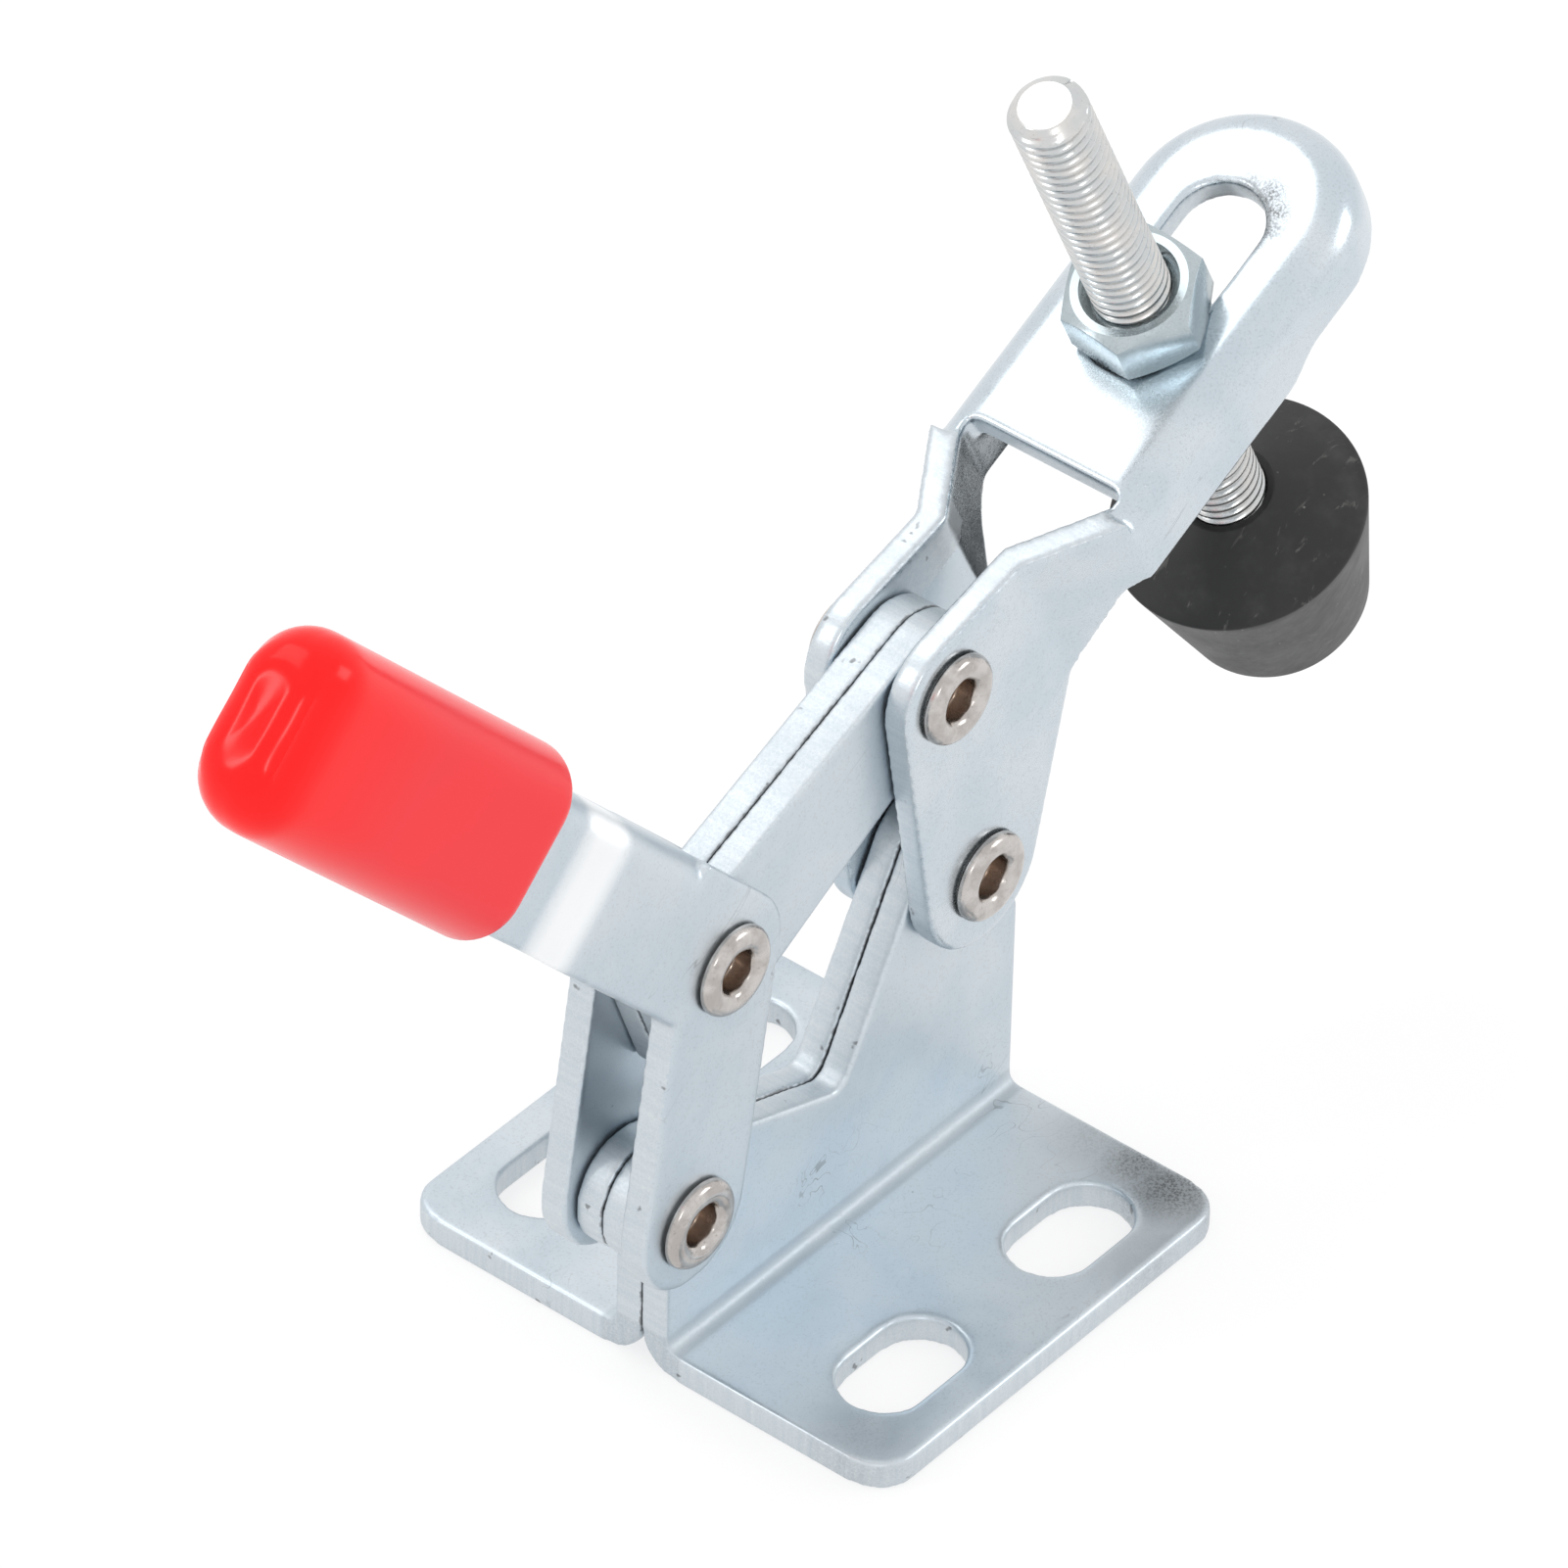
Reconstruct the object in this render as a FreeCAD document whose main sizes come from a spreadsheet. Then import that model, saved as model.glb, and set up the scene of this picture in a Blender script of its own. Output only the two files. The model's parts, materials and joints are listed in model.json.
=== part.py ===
"""Toggle clamp with a vertical handle and a flanged base, as a parametric document.

Frame: X points towards the clamping end, Y to the left, Z up. The origin lies on the underside, at the centre
of the four mounting slots. The clamp stands partly open, with the arm raised and the handle laid back.
All sizes are in millimetres and degrees.
"""
import FreeCAD, Part
import Sketcher

import math
import os

Vector = FreeCAD.Vector
Rotation = FreeCAD.Rotation
Placement = FreeCAD.Placement
ACROSS = Vector(0, 1, 0)
FORWARD = Vector(1, 0, 0)
UP = Vector(0, 0, 1)
SIDES = ((1, "left"), (-1, "right"))
# How far a cut or a rough blank runs past what it shapes
MARGIN = 1.0
# How near two coordinates of one place lie
SAME = 1e-4
# The least volume that a pocket has to take away
LEAST_CUT = 1e-3

# Driving sizes: alias, value and what it is
SIZES = (
    ("sheet", 2.0, "thickness of every pressed sheet"),
    ("side_play", 0.1, "gap between the stacked webs and bars and the ears outside them"),
    ("bend_inside", 0.7, "inside radius of a sheet bend"),
    ("base_length", 33.0, "base along X"),
    ("base_half_width", 19.1, "base centre line to the flange edge"),
    ("flange_round", 2.8, "rounded outer corners of the flange"),
    ("slot_width", 5.7, "mounting slot, across"),
    ("slot_length", 9.15, "mounting slot, end to end"),
    ("slot_spacing", 16.1, "slot centre to slot centre along X"),
    ("slot_row", 13.4, "centre line of the base to a slot"),
    ("handle_pivot_back", 16.5, "handle pivot behind the centre of the base"),
    ("handle_pivot_height", 13.7, "handle pivot above the underside"),
    ("arm_pivot_ahead", 10.55, "arm pivot ahead of the centre of the base"),
    ("arm_pivot_height", 23.45, "arm pivot above the underside"),
    ("crank", 18.13, "handle pivot to link pivot on the handle"),
    ("coupler", 21.88, "link, pivot to pivot"),
    ("rocker", 16.48, "arm pivot to link pivot on the arm"),
    ("rocker_rise", 77.0, "angle from the arm's plate to its pivot line"),
    ("handle_lean", 9.2, "handle ears ahead of upright as it stands"),
    ("web_lug", 3.9, "radius of the base web about a pivot"),
    ("valley_back", 0.1, "bottom of the web's valley behind the centre of the base"),
    ("valley_height", 12.0, "bottom of the web's valley above the underside"),
    ("valley_round", 1.2, "radius at the bottom of the valley"),
    ("web_shoulder", 17.0, "height where the web's front edge turns back"),
    ("rear_shoulder", 8.8, "height where the web's rear edge turns back"),
    ("ear_half_width", 4.7, "handle ear, pivot line to edge"),
    ("ear_crown", 4.8, "handle ear radius about the link pivot"),
    ("tongue_rise", 37.5, "handle tongue above square to the ears"),
    ("tongue_height", 9.45, "handle tongue, top edge to bottom edge"),
    ("tongue_reach", 50.5, "link pivot to the end of the tongue"),
    ("crotch_round", 1.0, "fillet where the ears' rear edge meets the tongue"),
    ("tongue_half_thickness", 2.4, "half the squeezed tongue"),
    ("tongue_round", 2.0, "corners at the end of the tongue"),
    ("fold_round", 2.0, "outside radius of the handle's top fold"),
    ("fold_start", 7.8, "link pivot to the front edge of the top fold"),
    ("squeeze_start", 17.2, "link pivot to where the channel begins to narrow"),
    ("squeeze_length", 2.4, "length over which the channel narrows"),
    ("grip_start", 23.8, "link pivot to the open end of the grip"),
    ("grip_length", 30.2, "grip, end to end"),
    ("grip_above", 1.8, "plastic over the tongue's top edge"),
    ("grip_below", 1.2, "plastic under the tongue's lower edge"),
    ("grip_cheek", 1.25, "plastic over the tongue's sides"),
    ("grip_round", 3.0, "rounding of the grip's long edges"),
    ("grip_end_round", 2.8, "rounding of the grip's closed end"),
    ("grip_fit", 0.05, "room between the tongue and the grip"),
    ("link_nose", 4.25, "radius of the link's round end"),
    ("link_nose_ahead", 0.5, "centre of the round end ahead of the arm's pivot"),
    ("link_nose_drop", 0.9, "centre of the round end below the link pivot line"),
    ("link_above", 2.85, "link pivot line to the link's upper corner at the tail"),
    ("link_below", 5.75, "link pivot line to its lower edge near the arm"),
    ("link_waist", 4.5, "arm's pivot back to where the lower edge bends"),
    ("tail_below", 8.75, "link pivot line to its lower corner at the tail"),
    ("tail_behind", 4.5, "link tail behind the handle's rivet"),
    ("link_round", 0.5, "corners of the link's tail"),
    ("slip_play", 0.15, "play of the handle's rivet in the link's slot"),
    ("close_travel", 38.0, "handle from where it stands to closed"),
    ("open_travel", 18.0, "handle from where it stands to open"),
    ("arm_share", 0.66, "turn of the arm for each degree of the handle"),
    ("link_share", 1.04, "turn of the link back against the arm for each degree of the handle"),
    ("plate_height", 17.8, "arm pivot to the top of the plate"),
    ("plate_back", 19.3, "arm pivot to the rear edge of the plate"),
    ("arm_half_width", 7.7, "arm centre line to the outside of the rim"),
    ("nose_centre", 38.6, "arm pivot to the centre of the round nose"),
    ("rim_depth", 6.2, "rim along the sides, below the top of the plate"),
    ("nose_depth", 5.0, "rim round the nose, below the top of the plate"),
    ("nose_rise_start", 32.6, "arm pivot to where the rim gets shallower"),
    ("nose_rise_length", 2.4, "length over which the rim gets shallower"),
    ("rim_root", 16.2, "arm pivot to where the rim's lower edge meets the ear"),
    ("arm_lug", 5.2, "arm ear radius about the base pivot"),
    ("arm_crown", 4.3, "arm ear radius about the link pivot"),
    ("step_start", 11.9, "arm pivot to where the ears step outwards"),
    ("step_end", 17.7, "arm pivot to where the ears meet the rim"),
    ("arm_edge_round", 1.5, "fillets of the arm's cut edges"),
    ("arm_slot_width", 5.9, "slot in the plate"),
    ("arm_slot_front", 37.25, "arm pivot to the centre of the slot's front end"),
    ("arm_slot_back", 28.9, "arm pivot to the centre of the slot's rear end"),
    ("spindle_reach", 29.8, "arm pivot to the spindle's axis"),
    ("spindle_radius", 2.5, "M5 spindle"),
    ("spindle_above", 24.2, "spindle above the top of the plate"),
    ("spindle_length", 50.0, "spindle without its head"),
    ("spindle_chamfer", 0.5, "chamfer at the spindle's free end"),
    ("head_height", 3.5, "hexagon head at the spindle's lower end"),
    ("nut_flats", 8.0, "M5 nut and head across the flats"),
    ("nut_height", 4.0, "M5 nut"),
    ("nut_turn", 25.0, "turn of the upper nut about the spindle"),
    ("nut_sink", 0.6, "countersink at both ends of a nut's bore"),
    ("nut_bevel", 0.35, "bevel at the corners of a nut, along its axis"),
    ("thread_play", 0.05, "play of a nut or the bumper on the spindle"),
    ("head_depth", 5.4, "bumper's neck down to the spindle's head"),
    ("bumper_neck", 3.0, "bumper radius where the spindle enters"),
    ("bumper_rim_drop", 2.9, "neck down to the widest rim"),
    ("bumper_rim", 8.35, "bumper radius at its widest rim"),
    ("bumper_height", 13.3, "neck to the pressing face"),
    ("bumper_face", 5.9, "bumper radius at the pressing face"),
    ("bumper_round", 0.4, "rounding of the bumper's edges"),
    ("rivet_radius", 2.0, "rivet shank"),
    ("rivet_bore", 1.4, "radius of the rivet's hollow"),
    ("rivet_play", 0.06, "running play round a rivet"),
    ("rivet_head", 3.0, "radius of a rolled head"),
    ("rivet_head_height", 0.95, "rolled head above its washer"),
    ("rivet_roll", 0.9, "outside rounding of a rolled head"),
    ("rivet_mouth", 0.6, "rounding at the mouth of the hollow"),
    ("washer_radius", 2.95, "washer under a rivet head"),
    ("washer_thickness", 0.5, "washer under a rivet head"),
)


class Round:
    """A convex stretch of an outline, an arc about a centre that the outline passes anticlockwise."""

    def __init__(self, x, y, radius):
        self.x, self.y, self.radius = x, y, radius


class Corner:
    """A vertex of an outline, with the radius of its fillet."""

    def __init__(self, x, y, fillet=0.0):
        self.x, self.y, self.radius, self.fillet = x, y, 0.0, fillet


def tangent(here, there):
    """The straight run that leaves one station and arrives at the next, both passed anticlockwise."""
    dx, dy = there.x - here.x, there.y - here.y
    span = dx * dx + dy * dy
    grow = here.radius - there.radius
    run = math.sqrt(span - grow * grow)
    ux, uy = (run * dx - grow * dy) / span, (run * dy + grow * dx) / span
    leave = Vector(here.x + here.radius * uy, here.y - here.radius * ux, 0)
    arrive = Vector(there.x + there.radius * uy, there.y - there.radius * ux, 0)
    return [leave, arrive]


def arc_round(station, arrive, leave):
    """Arc about a station's centre, anticlockwise."""
    first = math.atan2(arrive.y - station.y, arrive.x - station.x)
    last = math.atan2(leave.y - station.y, leave.x - station.x)
    halfway = first + (last - first) % (2 * math.pi) / 2
    centre = Vector(station.x, station.y, 0)
    middle = centre + Vector(math.cos(halfway), math.sin(halfway), 0) * station.radius
    return Part.Arc(arrive, middle, leave)


def arc_corner(station, before, after):
    """Fillet arc at a corner, and the two points where it meets the straight runs."""
    vertex = Vector(station.x, station.y, 0)
    back, ahead = (before - vertex).normalize(), (after - vertex).normalize()
    half = back.getAngle(ahead) / 2
    reach = station.fillet / math.tan(half)
    start, end = vertex + back * reach, vertex + ahead * reach
    middle = vertex + (back + ahead).normalize() * (station.fillet / math.sin(half) - station.fillet)
    return Part.Arc(start, middle, end), start, end


def outline(stations):
    """Lines and arcs of a closed outline through its stations, anticlockwise."""
    runs = [tangent(here, there) for here, there in zip(stations, stations[1:] + stations[:1])]
    arcs = []
    for i, station in enumerate(stations):
        if station.radius > 0:
            arcs.append(arc_round(station, runs[i - 1][1], runs[i][0]))
        elif station.fillet > 0:
            arc, runs[i - 1][1], runs[i][0] = arc_corner(station, runs[i - 1][0], runs[i][1])
            arcs.append(arc)
    return arcs + [Part.LineSegment(start, end) for start, end in runs if (end - start).Length > SAME]


def slot_outline(back, front, across, radius):
    """A slot along the first axis between its two end centres."""
    return outline([Round(back, across, radius), Round(front, across, radius)])


def hexagon(flats):
    """A hexagon about the origin, two corners on the first axis."""
    reach = flats / math.sqrt(3)
    turns = [math.radians(60 * i) for i in range(6)]
    return outline([Corner(reach * math.cos(turn), reach * math.sin(turn)) for turn in turns])


def make_sheet(doc):
    """Spreadsheet of the driving sizes, one row each, and their values by alias."""
    sheet = doc.addObject("Spreadsheet::Sheet", "sizes")
    for row, (alias, value, note) in enumerate(SIZES, start=1):
        sheet.set("A%d" % row, note)
        sheet.set("B%d" % row, str(value))
        sheet.setAlias("B%d" % row, alias)
    doc.recompute()
    return {alias: float(sheet.get(alias)) for alias, _, _ in SIZES}


def new_body(doc, label, placement=Placement()):
    """An empty body with a label of its own."""
    body = doc.addObject("PartDesign::Body", label)
    body.Label = label
    body.Placement = placement
    return body


def add_sketch(body, role, name, geometry, lift=0.0):
    """Sketch on one of the body's own planes, lifted along that plane's normal."""
    sketch = body.newObject("Sketcher::SketchObject", name)
    plane = next(item for item in body.Origin.OriginFeatures if item.Role == role)
    sketch.AttachmentSupport = [(plane, "")]
    sketch.MapMode = "FlatFace"
    sketch.AttachmentOffset = Placement(Vector(0, 0, lift), Rotation())
    sketch.addGeometry(geometry, False)
    return sketch


def add_circle(sketch, x, y, radius_rule):
    """Circle at a fixed place in a sketch, its radius bound to the spreadsheet."""
    circle = sketch.addGeometry(Part.Circle(Vector(x, y, 0), UP, 1.0), False)
    sketch.addConstraint(Sketcher.Constraint("DistanceX", -1, 1, circle, 3, x))
    sketch.addConstraint(Sketcher.Constraint("DistanceY", -1, 1, circle, 3, y))
    radius = sketch.addConstraint(Sketcher.Constraint("Radius", circle, 1.0))
    sketch.setExpression("Constraints[%d]" % radius, radius_rule)


def add_pad(body, sketch, length_rule, middle=False, reverse=False):
    """Pad whose length is bound to the spreadsheet."""
    pad = body.newObject("PartDesign::Pad", sketch.Name + "_pad")
    pad.Profile = sketch
    pad.setExpression("Length", length_rule)
    pad.Midplane = middle
    pad.Reversed = reverse
    return pad


def add_pocket(body, sketch, length_rule, middle=False, reverse=False):
    """Pocket that has to take material away; its length is bound to the spreadsheet."""
    before = body.Tip
    pocket = body.newObject("PartDesign::Pocket", sketch.Name + "_pocket")
    pocket.Profile = sketch
    pocket.setExpression("Length", length_rule)
    pocket.Midplane = middle
    pocket.Reversed = reverse
    body.Document.recompute()
    if pocket.Shape.Volume > before.Shape.Volume - LEAST_CUT:
        raise RuntimeError("%s cuts nothing" % pocket.Name)
    return pocket


def add_revolution(body, sketch, kind="PartDesign::Revolution"):
    """Full turn of a sketch about its own vertical axis."""
    turned = body.newObject(kind, sketch.Name + "_turned")
    turned.Profile = sketch
    turned.ReferenceAxis = (sketch, ["V_Axis"])
    turned.Angle = 360
    return turned


def add_dressing(body, kind, size_name, rule, wanted):
    """Fillet or chamfer on the edges of the body's last feature that a test picks out."""
    body.Document.recompute()
    feature = body.Tip
    names = ["Edge%d" % number for number, edge in enumerate(feature.Shape.Edges, start=1) if wanted(edge)]
    if not names:
        raise RuntimeError("no edges to dress on %s" % feature.Name)
    dressing = body.newObject(kind, feature.Name + "_edges")
    dressing.Base = (feature, names)
    dressing.setExpression(size_name, rule)
    return dressing


def add_fillet(body, rule, wanted):
    """Fillet whose radius is bound to the spreadsheet."""
    return add_dressing(body, "PartDesign::Fillet", "Radius", rule, wanted)


def at(value, place):
    """Whether a coordinate lies at a place."""
    return abs(value - place) < SAME


def lies_level(edge, height):
    """Whether all of an edge lies at one height."""
    return at(edge.BoundBox.ZMin, height) and at(edge.BoundBox.ZMax, height)


def runs_along(edge, across, height):
    """Whether an edge runs along X at one place across and one height."""
    return lies_level(edge, height) and at(edge.BoundBox.YMin, across) and at(edge.BoundBox.YMax, across)


def solve_linkage(size):
    """Pivots of the four-bar linkage as it stands, and the slopes of the link and the arm."""
    handle_base = Vector(-size["handle_pivot_back"], 0, size["handle_pivot_height"])
    arm_base = Vector(size["arm_pivot_ahead"], 0, size["arm_pivot_height"])
    lean = math.radians(size["handle_lean"])
    handle_link = handle_base + Vector(math.sin(lean), 0, math.cos(lean)) * size["crank"]
    gap = arm_base - handle_link
    square = size["coupler"] ** 2 + gap.Length ** 2 - size["rocker"] ** 2
    cosine = square / (2 * size["coupler"] * gap.Length)
    slope = math.atan2(gap.z, gap.x) + math.acos(cosine)
    link_arm = handle_link + Vector(math.cos(slope), 0, math.sin(slope)) * size["coupler"]
    rocker_line = link_arm - arm_base
    return {
        "handle_base": handle_base,
        "handle_link": handle_link,
        "link_arm": link_arm,
        "arm_base": arm_base,
        "link_slope": math.degrees(slope),
        "arm_lift": math.degrees(math.atan2(rocker_line.z, rocker_line.x)) - size["rocker_rise"],
    }


def rivet_in_link(size, pivots, turn):
    """Place of the handle's rivet in the link's own frame once the handle has turned towards closed."""
    handle = Rotation(ACROSS, turn)
    arm = Rotation(ACROSS, size["arm_share"] * turn)
    link = Rotation(ACROSS, (size["arm_share"] - size["link_share"]) * turn - pivots["link_slope"])
    rivet = pivots["handle_base"] + handle.multVec(pivots["handle_link"] - pivots["handle_base"])
    hook = pivots["arm_base"] + arm.multVec(pivots["link_arm"] - pivots["arm_base"])
    return link.inverted().multVec(rivet - hook) + FORWARD * size["coupler"]


def nose_up(place, degrees):
    """Placement at a pivot, turned nose up by an angle."""
    return Placement(place, Rotation(ACROSS, -degrees))


def make_base(doc, size, side, word):
    """One of the two L-shaped pressings: a web on the centre line and a flange with two slots."""
    label = "base_" + word
    body = new_body(doc, label)
    rear, front = -size["base_length"] / 2, size["base_length"] / 2
    handle_x, handle_z = -size["handle_pivot_back"], size["handle_pivot_height"]
    arm_x, arm_z = size["arm_pivot_ahead"], size["arm_pivot_height"]
    lug = size["web_lug"]

    web = add_sketch(body, "XZ_Plane", label + "_web", outline([
        Corner(rear, 0),
        Corner(front, 0),
        Corner(front, size["web_shoulder"], lug),
        Round(arm_x, arm_z, lug),
        Corner(-size["valley_back"], size["valley_height"], size["valley_round"]),
        Round(handle_x, handle_z, lug),
        Corner(rear, size["rear_shoulder"], size["valley_round"]),
    ]))
    for x, z in ((handle_x, handle_z), (arm_x, arm_z)):
        add_circle(web, x, z, "sizes.rivet_radius + sizes.rivet_play")
    add_pad(body, web, "sizes.sheet", reverse=side > 0)

    low, high = sorted((0.0, side * size["base_half_width"]))
    low_round, high_round = (0.0, size["flange_round"]) if side > 0 else (size["flange_round"], 0.0)
    flange = add_sketch(body, "XY_Plane", label + "_flange", outline([
        Corner(rear, low, low_round),
        Corner(front, low, low_round),
        Corner(front, high, high_round),
        Corner(rear, high, high_round),
    ]))
    half_run = (size["slot_length"] - size["slot_width"]) / 2
    for x in (-size["slot_spacing"] / 2, size["slot_spacing"] / 2):
        slot = slot_outline(x - half_run, x + half_run, side * size["slot_row"], size["slot_width"] / 2)
        flange.addGeometry(slot, False)
    add_pad(body, flange, "sizes.sheet")

    add_fillet(body, "sizes.bend_inside", lambda edge: runs_along(edge, side * size["sheet"], size["sheet"]))
    add_fillet(body, "sizes.bend_inside + sizes.sheet", lambda edge: runs_along(edge, 0, 0))


def make_link(doc, size, pivots, side, word):
    """One of the two bars; its own frame has the handle's rivet at the origin and the arm's ahead of it."""
    body = new_body(doc, "link_" + word, nose_up(pivots["handle_link"], pivots["link_slope"]))
    coupler, tail = size["coupler"], -size["tail_behind"]
    bar = add_sketch(body, "XZ_Plane", body.Label + "_bar", outline([
        Corner(tail, -size["tail_below"], size["link_round"]),
        Corner(coupler - size["link_waist"], -size["link_below"], size["link_nose"]),
        Round(coupler + size["link_nose_ahead"], -size["link_nose_drop"], size["link_nose"]),
        Corner(tail, size["link_above"], size["link_round"]),
    ]))
    add_circle(bar, coupler, 0, "sizes.rivet_radius + sizes.rivet_play")
    close = size["close_travel"]
    turns = (-size["open_travel"], close, 0.75 * close, 0.5 * close, 0.25 * close, 0)
    places = [rivet_in_link(size, pivots, turn) for turn in turns]
    slip_radius = size["rivet_radius"] + size["slip_play"]
    bar.addGeometry(outline([Round(place.x, place.z, slip_radius) for place in places]), False)
    add_pad(body, bar, "sizes.sheet", reverse=side > 0)


def ear_foot(size):
    """Base pivot in the handle's own frame."""
    rise = math.radians(size["tongue_rise"])
    return size["crank"] * math.sin(rise), -size["crank"] * math.cos(rise)


def squeeze_outline(size, outer):
    """Plan of the channel from its fold's front edge back: its outside, or the room inside it."""
    start, end = size["squeeze_start"], size["squeeze_start"] + size["squeeze_length"]
    wide, narrow = 2 * size["sheet"] + size["side_play"], size["tongue_half_thickness"]
    if not outer:
        slant = math.atan2(wide - narrow, size["squeeze_length"])
        lead = size["sheet"] * math.tan(slant / 2)
        start, end = start - lead, end - lead
        wide, narrow = wide - size["sheet"], narrow - size["sheet"]
    front, back = -size["fold_start"], -size["tongue_reach"]
    small, large = size["bend_inside"], size["bend_inside"] + size["sheet"]
    first, second = (large, small) if outer else (small, large)
    return outline([
        Corner(front, -wide),
        Corner(front, wide),
        Corner(-start, wide, first),
        Corner(-end, narrow, second),
        Corner(back, narrow),
        Corner(back, -narrow),
        Corner(-end, -narrow, second),
        Corner(-start, -wide, first),
    ])


def make_handle(doc, size, placement):
    """Folded channel; its own frame has the link pivot at the origin and the tongue straight back."""
    body = new_body(doc, "handle", placement)
    crown, fold, reach = size["ear_crown"], size["fold_start"], size["tongue_reach"]
    bottom = crown - size["tongue_height"]
    inner = size["sheet"] + size["side_play"]

    # Channel from the fold's front edge to the end of the tongue
    plan = add_sketch(body, "XY_Plane", "handle_plan", squeeze_outline(size, outer=True), lift=crown)
    add_pad(body, plan, "sizes.tongue_height", reverse=True)
    add_fillet(body, "sizes.fold_round", lambda edge: lies_level(edge, crown)
               and not at(edge.BoundBox.XMin, -fold) and not at(edge.BoundBox.XMax, -reach))
    room = add_sketch(body, "XY_Plane", "handle_room", squeeze_outline(size, outer=False),
                      lift=crown - size["sheet"])
    add_pocket(body, room, "sizes.tongue_height")
    add_fillet(body, "sizes.tongue_round", lambda edge: lies_level(edge, bottom)
               and at(edge.BoundBox.XMin, -reach) and at(edge.BoundBox.XMax, -reach))

    # The two ears, whose rear edge meets the tongue's lower edge
    foot_x, foot_z = ear_foot(size)
    rise, half = math.radians(size["tongue_rise"]), size["ear_half_width"]
    down = (-bottom - half * math.sin(rise)) / math.cos(rise)
    profile = outline([
        Round(foot_x, foot_z, half),
        Round(0, 0, crown),
        Corner(-fold, crown),
        Corner(-fold, bottom),
        Corner(down * math.sin(rise) - half * math.cos(rise), bottom, size["crotch_round"]),
    ])
    for side, word in SIDES:
        ear = add_sketch(body, "XZ_Plane", "handle_ear_" + word, profile, lift=-side * inner)
        for x, z in ((0, 0), (foot_x, foot_z)):
            add_circle(ear, x, z, "sizes.rivet_radius")
        add_pad(body, ear, "sizes.sheet", reverse=side > 0)


def make_grip(doc, size, placement):
    """Dipped sleeve on the tongue, in the handle's frame."""
    body = new_body(doc, "grip", placement)
    start, end = -size["grip_start"], -size["grip_start"] - size["grip_length"]
    tongue_top, tongue_bottom = size["ear_crown"], size["ear_crown"] - size["tongue_height"]
    top, bottom = tongue_top + size["grip_above"], tongue_bottom - size["grip_below"]
    half = size["tongue_half_thickness"] + size["grip_cheek"]
    section = add_sketch(body, "YZ_Plane", "grip_section", outline([
        Corner(-half, bottom, size["grip_round"]),
        Corner(half, bottom, size["grip_round"]),
        Corner(half, top, size["grip_round"]),
        Corner(-half, top, size["grip_round"]),
    ]), lift=end)
    add_pad(body, section, "sizes.grip_length")
    add_fillet(body, "sizes.grip_end_round",
               lambda edge: at(edge.BoundBox.XMin, end) and at(edge.BoundBox.XMax, end))
    fit, reach = size["grip_fit"], size["tongue_reach"]
    cavity = add_sketch(body, "XZ_Plane", "grip_cavity", outline([
        Corner(start + MARGIN, tongue_bottom - fit),
        Corner(start + MARGIN, tongue_top + fit),
        Corner(-reach - fit, tongue_top + fit),
        Corner(-reach - fit, tongue_bottom - fit, size["tongue_round"]),
    ]))
    add_pocket(body, cavity, "2 * (sizes.tongue_half_thickness + sizes.grip_fit)", middle=True)


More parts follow.
